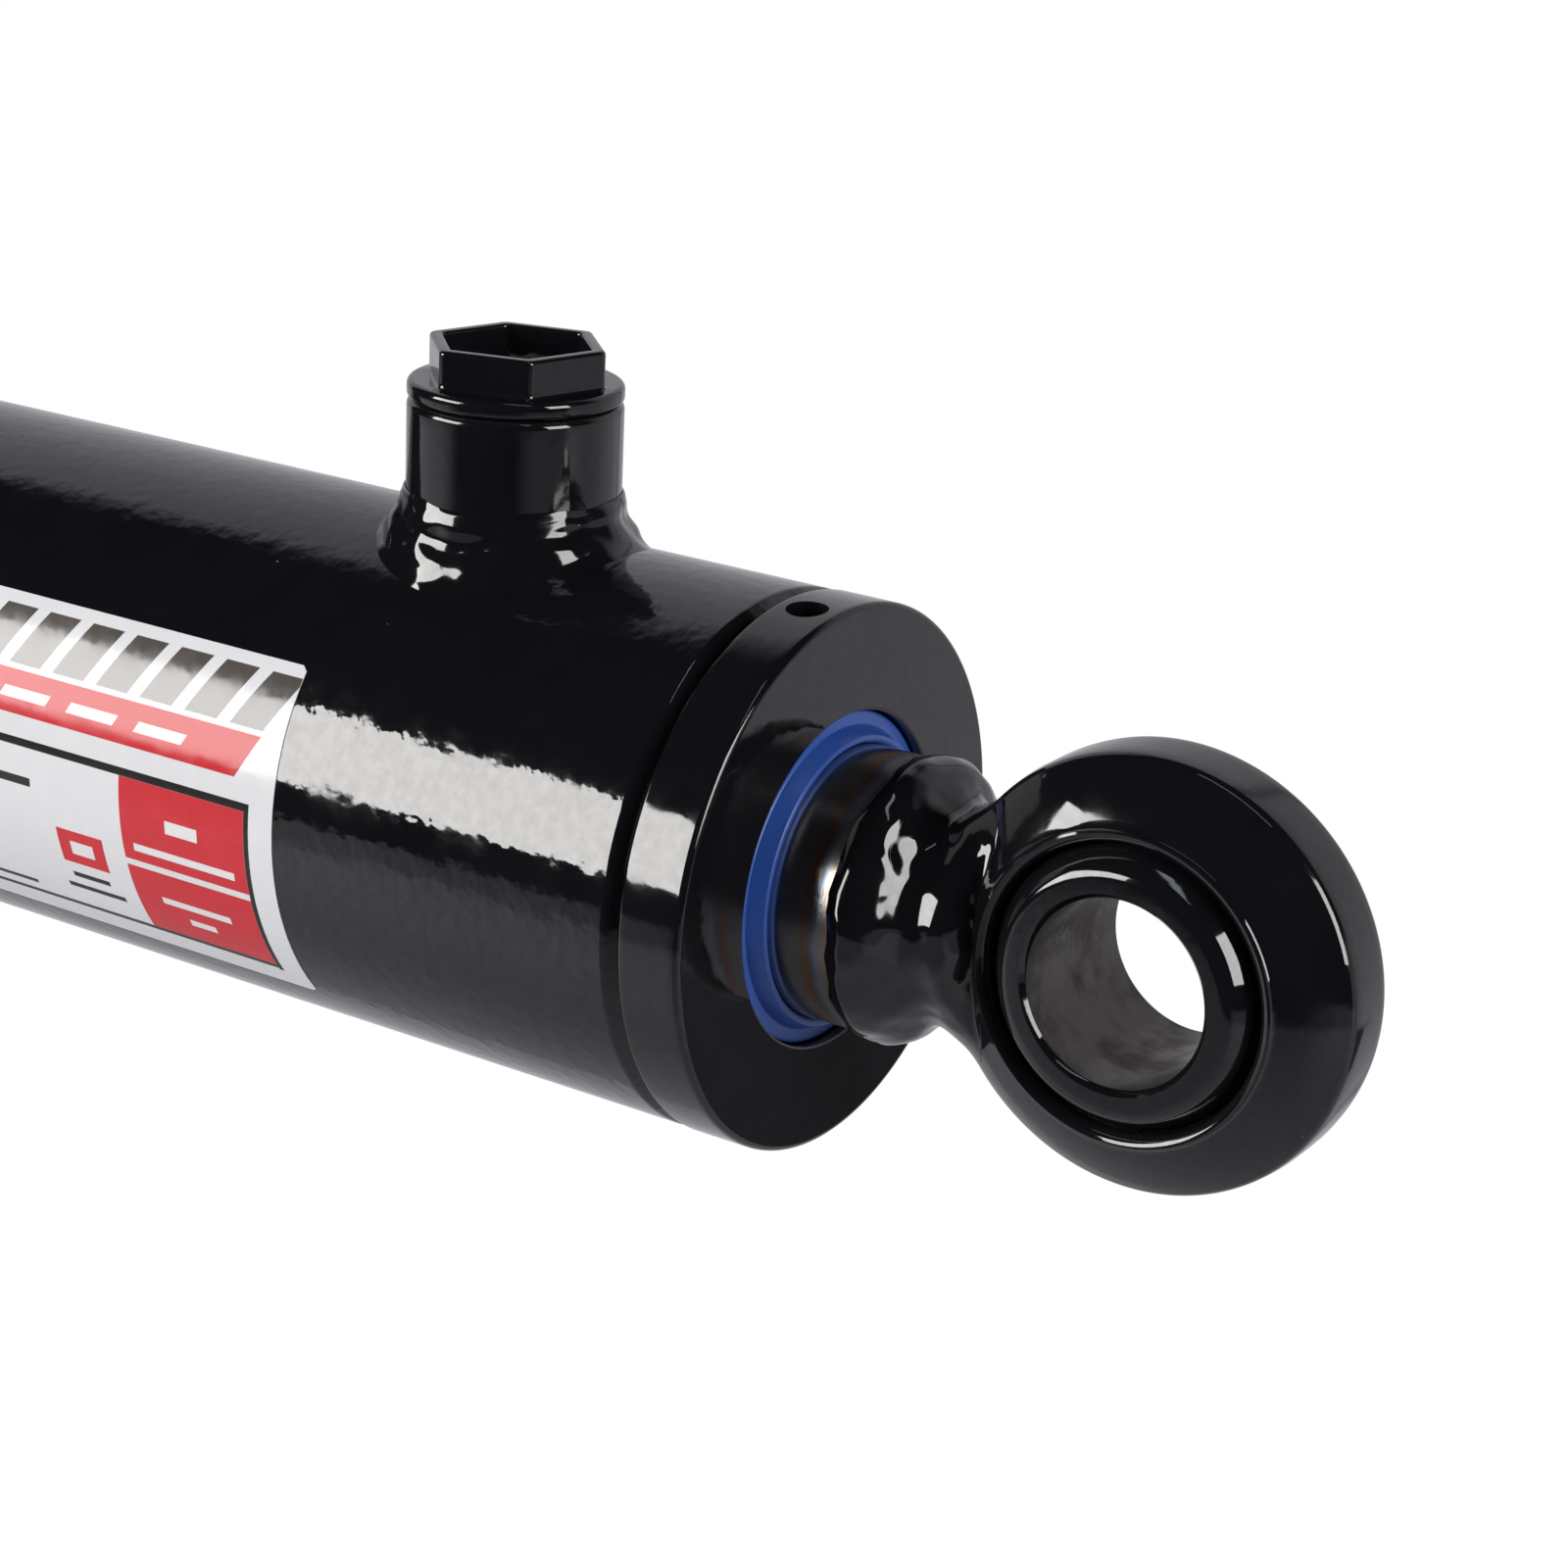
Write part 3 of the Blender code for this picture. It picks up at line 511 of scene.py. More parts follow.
def make_label(name, body, node, print_material, edge_material):
    """A thin sheet bent round the tube, a little round at its corners."""
    columns, rows = 120, 72
    corner = 0.8 * MM
    points = []
    for radius in (TUBE_R + 0.02 * MM, LABEL_R):
        for row in range(rows + 1):
            angle = LABEL_BOTTOM + (LABEL_TOP - LABEL_BOTTOM) * row / rows
            edge = min(angle - LABEL_BOTTOM, LABEL_TOP - angle) * radius
            inset = corner - math.sqrt(max(0.0, corner ** 2 - max(0.0, corner - edge) ** 2))
            left, right = LABEL_LEFT + inset, LABEL_RIGHT - inset
            for column in range(columns + 1):
                station = left + (right - left) * column / columns
                points.append((station, -radius * math.cos(angle), radius * math.sin(angle)))
    layer = (rows + 1) * (columns + 1)
    faces = []
    for start in (0, layer):
        for row in range(rows):
            for column in range(columns):
                first = start + row * (columns + 1) + column
                second = first + columns + 1
                faces.append((first, first + 1, second + 1, second))
    rim = list(range(columns))
    rim += [row * (columns + 1) + columns for row in range(rows)]
    rim += [rows * (columns + 1) + column for column in range(columns, 0, -1)]
    rim += [row * (columns + 1) for row in range(rows, 0, -1)]
    for here, there in zip(rim, rim[1:] + rim[:1]):
        faces.append((here, there, there + layer, here + layer))
    piece = mesh_object(name, points, faces)
    bare_faces(piece, lambda centre, normal: math.hypot(normal.y, normal.z) < 0.5)
    return finish_piece(piece, body, "label_vinyl", [print_material, edge_material], node)


# ---------------------------------------------------------------- barrel

def make_tube(name, paint, steel):
    """The tube: rolled-over edge at the gland, V for the cap weld, drilled for both ports."""
    thread_foot = GLAND_FACE - 36.0 * MM
    thread_r = TUBE_R - 4.3 * MM
    corners = [
        (TUBE_R, TUBE_START + 3.0 * MM, 0.3 * MM),
        (TUBE_R - 3.0 * MM, TUBE_START, 0.2 * MM),
        (BORE_R, TUBE_START, 0.2 * MM),
        (BORE_R, thread_foot, 0.0),
        (thread_r, thread_foot, 0.0),
        (thread_r, TUBE_END, 0.2 * MM),
        (TUBE_R - 1.3 * MM, TUBE_END, 0.5 * MM),
        (TUBE_R, TUBE_END - 1.9 * MM, 1.2 * MM),
    ]
    half = 9.0 * MM
    sides = [port + side for port in (ROD_PORT, BASE_PORT) for side in (half, -half)]
    piece = skin(name, rounded(corners) + [(TUBE_R, side) for side in sides])
    for port in (ROD_PORT, BASE_PORT):
        bore_out(piece, (port, 0.0, TUBE_R), (0.0, 0.0, 1.0), PORT_HOLE_R, 20.0 * MM)
    bare_faces(piece, lambda centre, normal: math.hypot(centre.y, centre.z) < TUBE_R - 2.5 * MM)
    return finish_piece(piece, "barrel", "black_paint", [paint, steel], name)


def make_gland(name, paint, steel):
    """The gland: collar with a soft edge, thread, seal grooves and two spanner holes."""
    def at(distance):
        return GLAND_FACE - distance * MM

    thread_r = TUBE_R - 4.6 * MM
    pilot_r = BORE_R - 0.3 * MM
    bore_r = ROD_R + 0.3 * MM
    tail_r = 21.0 * MM
    corners = [
        (GLAND_R, at(0.0), 1.25 * MM),
        (GLAND_R, at(1.9), 0.0),
        (GLAND_R, at(8.4), 0.0),
        (GLAND_R, at(9.7), 0.7 * MM),
        (thread_r, at(9.7), 0.2 * MM),
    ]
    pitch = 1.6
    for turn in range(14):
        corners.append((thread_r, at(11.0 + pitch * turn), 0.0))
        corners.append((thread_r - 0.8 * MM, at(11.0 + pitch * (turn + 0.5)), 0.0))
    corners += [
        (thread_r - 0.8 * MM, at(34.0), 0.2 * MM),
        (pilot_r, at(34.2), 0.3 * MM),
        (pilot_r, at(36.5), 0.2 * MM),
        (28.9 * MM, at(36.5), 0.2 * MM),
        (28.9 * MM, at(42.5), 0.2 * MM),
        (pilot_r, at(42.5), 0.2 * MM),
        (pilot_r, at(45.7), 0.5 * MM),
        (27.0 * MM, at(45.7), 0.5 * MM),
        (27.0 * MM, GLAND_BACK, 0.5 * MM),
        (tail_r, GLAND_BACK, 0.5 * MM),
        (tail_r, at(45.7), 0.5 * MM),
        (bore_r, at(45.7), 0.3 * MM),
        (bore_r, at(40.0), 0.0),
        (21.6 * MM, at(40.0), 0.2 * MM),
        (21.6 * MM, at(28.0), 0.2 * MM),
        (bore_r, at(28.0), 0.0),
        (bore_r, at(22.0), 0.0),
        (23.2 * MM, at(22.0), 0.2 * MM),
        (23.2 * MM, at(14.0), 0.2 * MM),
        (bore_r, at(14.0), 0.0),
        (bore_r, at(6.5), 0.0),
        (WIPER_SEAT_R, at(6.5), 0.3 * MM),
        (WIPER_SEAT_R, at(0.0), 0.35 * MM),
    ]
    piece = turned(name, corners)
    for turn in (math.radians(5.7), math.radians(185.7)):
        direction = Vector((0.0, -math.sin(turn), math.cos(turn)))
        start = Vector((at(5.1), 0.0, 0.0)) + direction * GLAND_R
        bore_out(piece, start, direction, 2.9 * MM, 14.0 * MM)

    def is_bare(centre, normal):
        in_bore = math.hypot(centre.y, centre.z) < WIPER_SEAT_R - 0.5 * MM
        return in_bore or centre.x < at(9.9)

    bare_faces(piece, is_bare)
    return finish_piece(piece, "barrel", "black_paint", [paint, steel], name)


def make_wiper(name, urethane):
    """The wiper: a flat heel sunk in the gland and a cone lip that stands just out of it."""
    heel = GLAND_FACE - 1.5 * MM
    root = GLAND_FACE - 6.2 * MM
    corners = [
        (ROD_R + 0.10 * MM, WIPER_LIP - 0.5 * MM, 0.15 * MM),
        (ROD_R + 0.55 * MM, WIPER_LIP, 0.2 * MM),
        (ROD_R + 1.15 * MM, WIPER_LIP, 0.3 * MM),
        (ROD_R + 2.2 * MM, heel + 0.15 * MM, 0.4 * MM),
        (WIPER_SEAT_R - 0.15 * MM, heel, 0.5 * MM),
        (WIPER_SEAT_R - 0.15 * MM, root, 0.4 * MM),
        (ROD_R + 0.3 * MM, root, 0.3 * MM),
        (ROD_R + 0.3 * MM, heel - 1.0 * MM, 0.2 * MM),
    ]
    piece = turned(name, corners)
    return finish_piece(piece, "barrel", "blue_urethane", [urethane], name)


def make_cap(name, paint, steel):
    """The base cap: a disc with a spigot, bevelled for its weld."""
    spigot_r = BORE_R - 0.3 * MM
    flange_end = CAP_FACE + 10.0 * MM
    corners = [
        (0.0, CAP_END, 0.0),
        (spigot_r, CAP_END, 1.0 * MM),
        (spigot_r, flange_end, 0.2 * MM),
        (TUBE_R - 3.0 * MM, flange_end, 0.2 * MM),
        (TUBE_R, flange_end - 3.0 * MM, 0.3 * MM),
        (TUBE_R, CAP_FACE + 1.7 * MM, 0.0),
        (TUBE_R, CAP_FACE, 1.7 * MM),
        (0.0, CAP_FACE, 0.0),
    ]
    piece = turned(name, corners, closed=False)
    bare_faces(piece, lambda centre, normal: centre.x > flange_end - 0.1 * MM)
    return finish_piece(piece, "barrel", "black_paint", [paint, steel], name)


def make_cap_weld(name, paint):
    """The bead round the cap: overlapping ripples with slightly wandering toes."""
    ripple_pitch = 2.6 * MM
    scallop = np.abs(np.sin(math.pi * TURN * TUBE_R / ripple_pitch))
    wander = ripple(place("X", ORIGIN, TUBE_R, TUBE_START), 6 * MM, 0.35 * MM, 3.0)
    steps = 12
    rings = []
    for step in range(steps + 1):
        swing = math.pi * (step / steps - 0.5)
        crown = math.cos(swing)
        lag = 0.35 * MM * crown * scallop
        radius = TUBE_R - 0.15 * MM + crown * (0.95 * MM + 0.16 * MM * scallop)
        station = TUBE_START + 3.0 * MM * math.sin(swing) + wander + lag
        rings.append((radius, station))
    rings.append((TUBE_R - 1.0 * MM, TUBE_START + 2.0 * MM))
    rings.append((TUBE_R - 2.6 * MM, TUBE_START))
    rings.append((TUBE_R - 1.0 * MM, TUBE_START - 2.0 * MM))
    return finish_piece(skin(name, rings), "barrel", "black_paint", [paint], name)


# ---------------------------------------------------------------- eyes

def eye_outline():
    """The eye ring's section, from its mouth over the crowned flank to the band, on one side."""
    flank_start = Vector((21.5 * MM, 10.15 * MM))
    flank_stop = Vector((EYE_R - 1.1 * MM, 5.45 * MM))
    bow = 0.28 * MM
    along = (flank_stop - flank_start).normalized()
    across = Vector((-along.y, along.x))
    flank = []
    steps = 10
    for step in range(steps + 1):
        share = step / steps
        point = flank_start.lerp(flank_stop, share) + across * bow * 4 * share * (1 - share)
        flank.append((point.x, point.y))
    lip = [
        (19.36 * MM, 8.9 * MM),
        (19.45 * MM, 9.6 * MM),
        (19.66 * MM, 10.2 * MM),
        (20.02 * MM, 10.65 * MM),
        (20.45 * MM, 10.92 * MM),
        (20.85 * MM, 10.98 * MM),
        (21.15 * MM, 10.80 * MM),
        (21.28 * MM, 10.45 * MM),
    ]
    shoulder = [(*flank[-2], 0.0), (EYE_R - 0.25 * MM, 4.60 * MM, 2.2 * MM), (EYE_R, 2.4 * MM, 0.0)]
    return lip + flank[:-1] + rounded(shoulder, False, 8)[1:]


def make_eye_ring(name, centre, body, paint, steel):
    """An eye ring: mirrored section, with the ball's race inside."""
    side = eye_outline()
    outside = side + [(radius, -station) for radius, station in reversed(side)]
    race_r = BALL_R + 0.15 * MM
    throat = 8.3 * MM
    race = []
    steps = 24
    for step in range(steps + 1):
        station = -throat + 2 * throat * step / steps
        race.append((math.sqrt(race_r ** 2 - station ** 2), station))
    piece = skin(name, outside + race, "Y", centre)

    def is_bare(point, normal):
        inward = normal.x * (point.x - centre[0]) + normal.z * (point.z - centre[2]) < 0
        return inward and abs(point.y) < throat + 0.6 * MM

    bare_faces(piece, is_bare)
    return finish_piece(piece, body, "black_paint", [paint, steel], name)


def make_ball(name, centre, body, paint, steel):
    """The swivel ball: painted outside, with a bare machined pin bore."""
    flat_r = math.sqrt(BALL_R ** 2 - BALL_HALF ** 2)
    steps = 40
    arc = []
    for step in range(1, steps):
        angle = math.asin(BALL_HALF / BALL_R) * (1 - 2 * step / steps)
        arc.append((BALL_R * math.cos(angle), BALL_R * math.sin(angle)))
    arc = arc[3:-3]
    flat = [(PIN_R + 0.75 * MM, BALL_HALF, 0.12 * MM), (flat_r, BALL_HALF, 2.6 * MM), (*arc[0], 0.0)]
    top = rounded(flat, False)
    bottom = [(radius, -station) for radius, station in reversed(top)]
    bore = [
        (PIN_R + 0.06 * MM, -BALL_HALF + 0.75 * MM),
        (PIN_R, -BALL_HALF + 0.95 * MM),
        (PIN_R, BALL_HALF - 0.95 * MM),
        (PIN_R + 0.06 * MM, BALL_HALF - 0.75 * MM),
    ]
    piece = skin(name, top[:-1] + arc + bottom[1:] + bore, "Y", centre)

    def is_bare(point, normal):
        return math.hypot(point.x - centre[0], point.z - centre[2]) < PIN_R + 0.2 * MM

    bare_faces(piece, is_bare)
    return finish_piece(piece, body, "ball_steel", [paint, steel], name)


def outline_distance(points, outline):
    """Signed distance of (n, 2) points from a closed outline, negative inside."""
    best = np.full(len(points), np.inf)
    inside = np.zeros(len(points), bool)
    corners = np.array(outline)
    for start, stop in zip(corners, np.roll(corners, -1, axis=0)):
        edge = stop - start
        offset = points - start
        length = max(float(edge @ edge), 1e-18)
        share = np.clip(offset @ edge / length, 0.0, 1.0)
        gap = offset - share[:, None] * edge
        best = np.minimum(best, (gap ** 2).sum(axis=1))
        if edge[1] != 0.0:
            crosses = (start[1] > points[:, 1]) != (stop[1] > points[:, 1])
            cross_x = start[0] + (points[:, 1] - start[1]) * edge[0] / edge[1]
            inside ^= crosses & (points[:, 0] < cross_x)
    return np.sqrt(best) * np.where(inside, -1.0, 1.0)


def ring_distance(points, centre):
    """Signed distance from the outside of an eye ring, taken as solid."""
    flat = np.stack(
        [np.hypot(points[:, 0] - centre[0], points[:, 2] - centre[2]), np.abs(points[:, 1])], axis=1
    )
    side = eye_outline()[7:]
    return outline_distance(flat, [(0.0, side[0][1])] + side + [(EYE_R, -1.0), (0.0, -1.0)])


def neck_distance(points, outline):
    flat = np.stack([points[:, 0], np.hypot(points[:, 1], points[:, 2])], axis=1)
    return outline_distance(flat, outline)


MOUTH_EDGE = 21.6 * MM
NECK_ROWS = 64
FOOT_ROWS = 22
FOOT_SHARES = np.linspace(0.0, 1.0, FOOT_ROWS + 1)[1:]


def fillet_reach(points, centre, reach):
    """How far a neck's fillet reaches at each point; it dies away at the ring's mouth."""
    from_axis = np.hypot(points[:, 0] - centre[0], points[:, 2] - centre[2])
    return reach * np.clip((from_axis - MOUTH_EDGE) / (4.0 * MM), 0.0, 1.0) + 0.10 * MM


def union_distance(points, outline, centre, reach):
    """Distance from a neck and an eye ring joined by a fillet."""
    first = neck_distance(points, outline)
    second = ring_distance(points, centre)
    local = fillet_reach(points, centre, reach)
    share = np.clip(0.5 + 0.5 * (second - first) / local, 0.0, 1.0)
    return second + (first - second) * share - local * share * (1 - share)


def slope_of(distance, points, *shape):
    """Value and gradient of a distance function."""
    step = 0.02 * MM
    value = distance(points, *shape)
    slope = [(distance(points + step * axis, *shape) - value) / step for axis in np.eye(3)]
    return value, np.stack(slope, axis=1)


def flow_to_surface(points, outline, centre, reach, rounds=12):
    """Move points straight away from the joined shape until they lie on its surface."""
    for _ in range(rounds):
        value, slope = slope_of(union_distance, points, outline, centre, reach)
        steepness = np.maximum((slope ** 2).sum(axis=1, keepdims=True), 0.25)
        move = -value[:, None] * slope / steepness
        length = np.sqrt((move ** 2).sum(axis=1, keepdims=True))
        points = points + move * np.minimum(1.0, 1.0 * MM / np.maximum(length, 1e-9))
    return points


def unit(vectors):
    return vectors / np.maximum(np.linalg.norm(vectors, axis=1, keepdims=True), 1e-9)


def smooth_profile(profile):
    """Fill a profile in to steps of about 0.35 mm and round its corners."""
    dense = []
    for (start_x, start_r), (stop_x, stop_r) in zip(profile, profile[1:]):
        count = max(1, round(math.hypot(stop_x - start_x, stop_r - start_r) / (0.35 * MM)))
        shares = np.arange(count) / count
        dense += [(start_x + (stop_x - start_x) * t, start_r + (stop_r - start_r) * t) for t in shares]
    dense.append(profile[-1])
    path = np.array(dense)
    kernel = np.array([1.0, 2.0, 3.0, 2.0, 1.0]) / 9.0
    for _ in range(3):
        inner = [np.convolve(path[:, column], kernel, "valid") for column in (0, 1)]
        path = np.concatenate([path[:2], np.stack(inner, axis=1), path[-2:]])
    return path


def cut_at_ring(grid, centre, rows):
    """Re-space every column of a neck's grid between its lip and where it enters the ring."""
    depth = ring_distance(grid.reshape(-1, 3), centre).reshape(grid.shape[:2])
    first_in = np.argmax(depth < 0.0, axis=0)
    columns = np.arange(SEGMENTS)
    before, after = depth[first_in - 1, columns], depth[first_in, columns]
    crossing = first_in - 1 + before / (before - after)
    steps = crossing[None, :] * np.linspace(0.0, 1.0, rows)[:, None]
    base = np.minimum(steps.astype(int), grid.shape[0] - 2)
    share = (steps - base)[:, :, None]
    return grid[base, columns[None, :]] * (1 - share) + grid[base + 1, columns[None, :]] * share


def neck_sheet(path, outline, centre, reach):
    """Rows of points from a neck's lip to the ring, then out over the ring as the fillet's foot."""
    grid = np.stack([place("X", ORIGIN, radius, station) for station, radius in path])
    neck = cut_at_ring(grid, centre, NECK_ROWS)
    edge = neck[-1]
    ring_slope = unit(slope_of(ring_distance, edge, centre)[1])
    neck_slope = unit(slope_of(neck_distance, edge - 0.05 * MM * ring_slope, outline)[1])
    outward = unit(neck_slope - (neck_slope * ring_slope).sum(axis=1, keepdims=True) * ring_slope)
    from_axis = np.hypot(edge[:, 0] - centre[0], edge[:, 2] - centre[2])
    to_mouth = np.abs(from_axis - MOUTH_EDGE) + 0.3 * MM
    foot_length = np.minimum(fillet_reach(edge, centre, reach) * 1.1, to_mouth)
    foot = edge + outward * foot_length[:, None] * FOOT_SHARES[:, None, None]
    return np.concatenate([neck, foot])


def make_neck(name, profile, inside, centre, body, paint, reach, lumps, seed, dent=0.0):
    """A weld neck that runs from its free lip over a fillet and out onto the eye ring."""
    path = smooth_profile(profile)
    lip_x, lip_r = path[0]
    tip_x = path[-1][0]
    outline = [*path, (tip_x, -1.0 * MM), (lip_x, -1.0 * MM)]
    sheet = neck_sheet(path, outline, centre, reach)
    rows = len(sheet)
    points = flow_to_surface(sheet.reshape(-1, 3), outline, centre, reach)
    slope = unit(slope_of(union_distance, points, outline, centre, reach)[1])
    from_lip = np.abs(points[:, 0] - points[:SEGMENTS, 0].mean())
    fade = np.clip(from_lip / (2.5 * MM), 0.0, 1.0).reshape(rows, SEGMENTS)
    fade[-FOOT_ROWS:] *= (1 - FOOT_SHARES[:, None]) ** 1.5
    bumps = ripple(points, 7.0 * MM, 1.0, seed) + 0.5 * ripple(points, 3.6 * MM, 1.0, seed + 9.0)
    upward = np.clip(points[:, 2] / np.maximum(np.hypot(points[:, 1], points[:, 2]), 1e-6), 0.0, 1.0)
    hollow = dent * upward ** 2 * np.exp(-(((from_lip - 7.6 * MM) / (2.6 * MM)) ** 2))
    points = points + slope * (lumps * bumps * fade.ravel() - hollow)[:, None]
    points[-SEGMENTS:] -= slope[-SEGMENTS:] * 0.10 * MM
    lip = place("X", ORIGIN, lip_r, lip_x)
    ragged = ripple(lip, 5.0 * MM, 0.7 * MM, seed + 4.0) + ripple(lip, 1.6 * MM, 0.16 * MM, seed + 5.0)
    near = np.clip(1 - from_lip / (3.0 * MM), 0.0, 1.0)
    points[:, 0] += near * np.tile(ragged, rows)
    loops = [place("X", ORIGIN, 0.0, tip_x)] + list(points.reshape(rows, SEGMENTS, 3)[::-1])
    loops += [place("X", ORIGIN, radius, station) for station, radius in inside]
    piece = join_loops(name, loops, closed=False)
    return finish_piece(piece, body, "black_paint", [paint], name)


def make_rod_neck(name, paint):
    """The neck at the rod's end: thick over the chrome, waisted, then flowing into the eye."""
    def at(distance):
        return GLAND_FACE + distance * MM

    profile = [
        (at(10.0), ROD_R + 0.08 * MM),
        (at(10.15), ROD_R + 0.45 * MM),
        (at(10.8), ROD_R + 0.85 * MM),
        (at(12.0), ROD_R + 0.95 * MM),
        (at(13.4), 19.65 * MM),
        (at(14.8), 19.05 * MM),
        (at(16.0), 18.15 * MM),
        (at(17.3), 16.7 * MM),
        (at(18.5), 15.0 * MM),
        (at(19.8), 14.1 * MM),
        (at(21.4), 13.7 * MM),
        (at(23.0), 13.7 * MM),
        (at(24.3), 13.2 * MM),
        (at(25.4), 12.0 * MM),
        (at(26.2), 10.2 * MM),
        (at(26.7), 8.0 * MM),
        (at(26.9), 4.5 * MM),
    ]
    fit_r = ROD_R + 0.02 * MM
    floor = ROD_END + 0.1 * MM
    inside = [(at(10.1), fit_r), (floor, fit_r), (floor, 0.0)]
    return make_neck(name, profile, inside, ROD_EYE, "rod", paint, 6.4 * MM, 0.46 * MM, 1.7, 1.1 * MM)


def make_base_neck(name, paint):
    """The neck between the base cap and its eye."""
    def at(distance):
        return CAP_FACE - distance * MM

    profile = [
        (at(0.05), 21.6 * MM),
        (at(0.5), 20.6 * MM),
        (at(1.4), 18.9 * MM),
        (at(2.6), 17.3 * MM),
        (at(4.0), 15.4 * MM),
        (at(5.6), 14.2 * MM),
        (at(7.4), 13.6 * MM),
        (at(8.8), 12.4 * MM),
        (at(9.6), 10.8 * MM),
        (at(9.9), 8.5 * MM),
        (at(10.0), 4.5 * MM),
    ]
    inside = [(at(0.0), 0.0)]
    return make_neck(name, profile, inside, BASE_EYE, "barrel", paint, 5.5 * MM, 0.40 * MM, 6.3)


# ---------------------------------------------------------------- ports

def saddle_under(radius, gap=0.0):
    """Heights of a ring of that radius where it stands on the tube."""
    return np.sqrt((TUBE_R + gap) ** 2 - (radius * SINE) ** 2)


def make_boss(name, port_x, paint, steel):
    """The port boss: rounded top edge, O-ring seat, thread, and a foot cut to the tube."""
    thread_r = 9.55 * MM
    seat_r = 11.0 * MM
    thread_top, thread_foot, floor = (BOSS_TOP - depth * MM for depth in (4.2, 13.5, 14.0))
    top = [
        (thread_r, BOSS_TOP - 3.5 * MM, 0.0),
        (seat_r, BOSS_TOP - 0.6 * MM, 0.0),
        (seat_r + 0.2 * MM, BOSS_TOP, 0.3 * MM),
        (BOSS_R, BOSS_TOP, 1.1 * MM),
        (BOSS_R, BOSS_TOP - 4.0 * MM, 0.0),
    ]
    rings = rounded(top, False) + [(BOSS_R, BOSS_TOP - 12.0 * MM)]
    rings += [(radius, saddle_under(radius, 0.05 * MM)) for radius in (BOSS_R, PORT_HOLE_R)]
    rings += [(PORT_HOLE_R, floor), (thread_r, floor)]
    for step in range(13):
        station = thread_foot + (thread_top - thread_foot) * step / 12
        rings.append((thread_r + (step % 2) * 0.45 * MM, station))
    piece = skin(name, rings, "Z", (port_x, 0.0, 0.0))
    bare_faces(piece, lambda centre, normal: math.hypot(centre.x - port_x, centre.y) < seat_r)
    return finish_piece(piece, "barrel", "black_paint", [paint, steel], name)


def make_port_weld(name, port_x, paint, seed):
    """The hand-run fillet round a boss: wandering toe, lumps, and a soft step at its top."""
    around = np.stack([COSINE, SINE, np.zeros(SEGMENTS)], axis=1)
    toe_r = (18.5 + 0.9 * np.abs(COSINE)) * MM + ripple(around, 0.55, 0.9 * MM, seed)
    head_z = (44.3 + 0.6 * np.abs(COSINE)) * MM + ripple(around, 0.45, 0.8 * MM, seed + 2.0)
    saddle = saddle_under(toe_r)
    steps = 36
    rings = []
    for step in range(steps + 1):
        share = step / steps
        belly = 0.30 * MM * math.sin(math.pi * share)
        ease = share + 0.10 * math.sin(math.pi * share)
        flare = 0.55 * share + 0.45 * share ** 4
        passes = 0.20 * MM * math.sin(math.tau * (1.9 * share - 0.05)) * math.sin(math.pi * share)
        radius = BOSS_R + 0.05 * MM + (toe_r - BOSS_R) * flare + belly * 0.7 + passes
        station = head_z + (saddle - head_z) * share + belly * 0.55
        radius = radius + 0.12 * MM * math.exp(-(((share - 0.05) / 0.05) ** 2))
        points = place("Z", ORIGIN, radius, station)
        strength = math.sin(math.pi * min(1.0, ease)) ** 0.6 if 0 < share < 1 else 0.0
        lump = ripple(points, 6.0 * MM, 0.78 * MM, seed + 5.0) + ripple(points, 3.0 * MM, 0.16 * MM, seed)
        rings.append((radius + lump * strength, station + lump * 0.6 * strength))
    rings.append((toe_r - 0.3 * MM, saddle - 0.25 * MM))
    rings.append((BOSS_R + 0.02 * MM, saddle_under(BOSS_R) + 0.02 * MM))
    piece = skin(name, rings, "Z", (port_x, 0.0, 0.0))
    return finish_piece(piece, "barrel", "black_paint", [paint], name)


def hexagon(size, corner, turn):
    """Radius of a rounded hexagon for every segment, from its corner radius before rounding."""
    half = math.pi / 6
    apothem = size * math.cos(half)
    centre_r = (apothem - corner) / math.cos(half)
    off = np.abs(np.mod(TURN - turn + half, 2 * half) - half)
    tangent = math.atan2((apothem - corner) * math.tan(half), apothem)
    flat = apothem / np.cos(half - off)
    reach = np.maximum(corner ** 2 - (centre_r * np.sin(off)) ** 2, 0.0)
    arc = centre_r * np.cos(off) + np.sqrt(reach)
    return np.where(half - off < tangent, flat, arc)


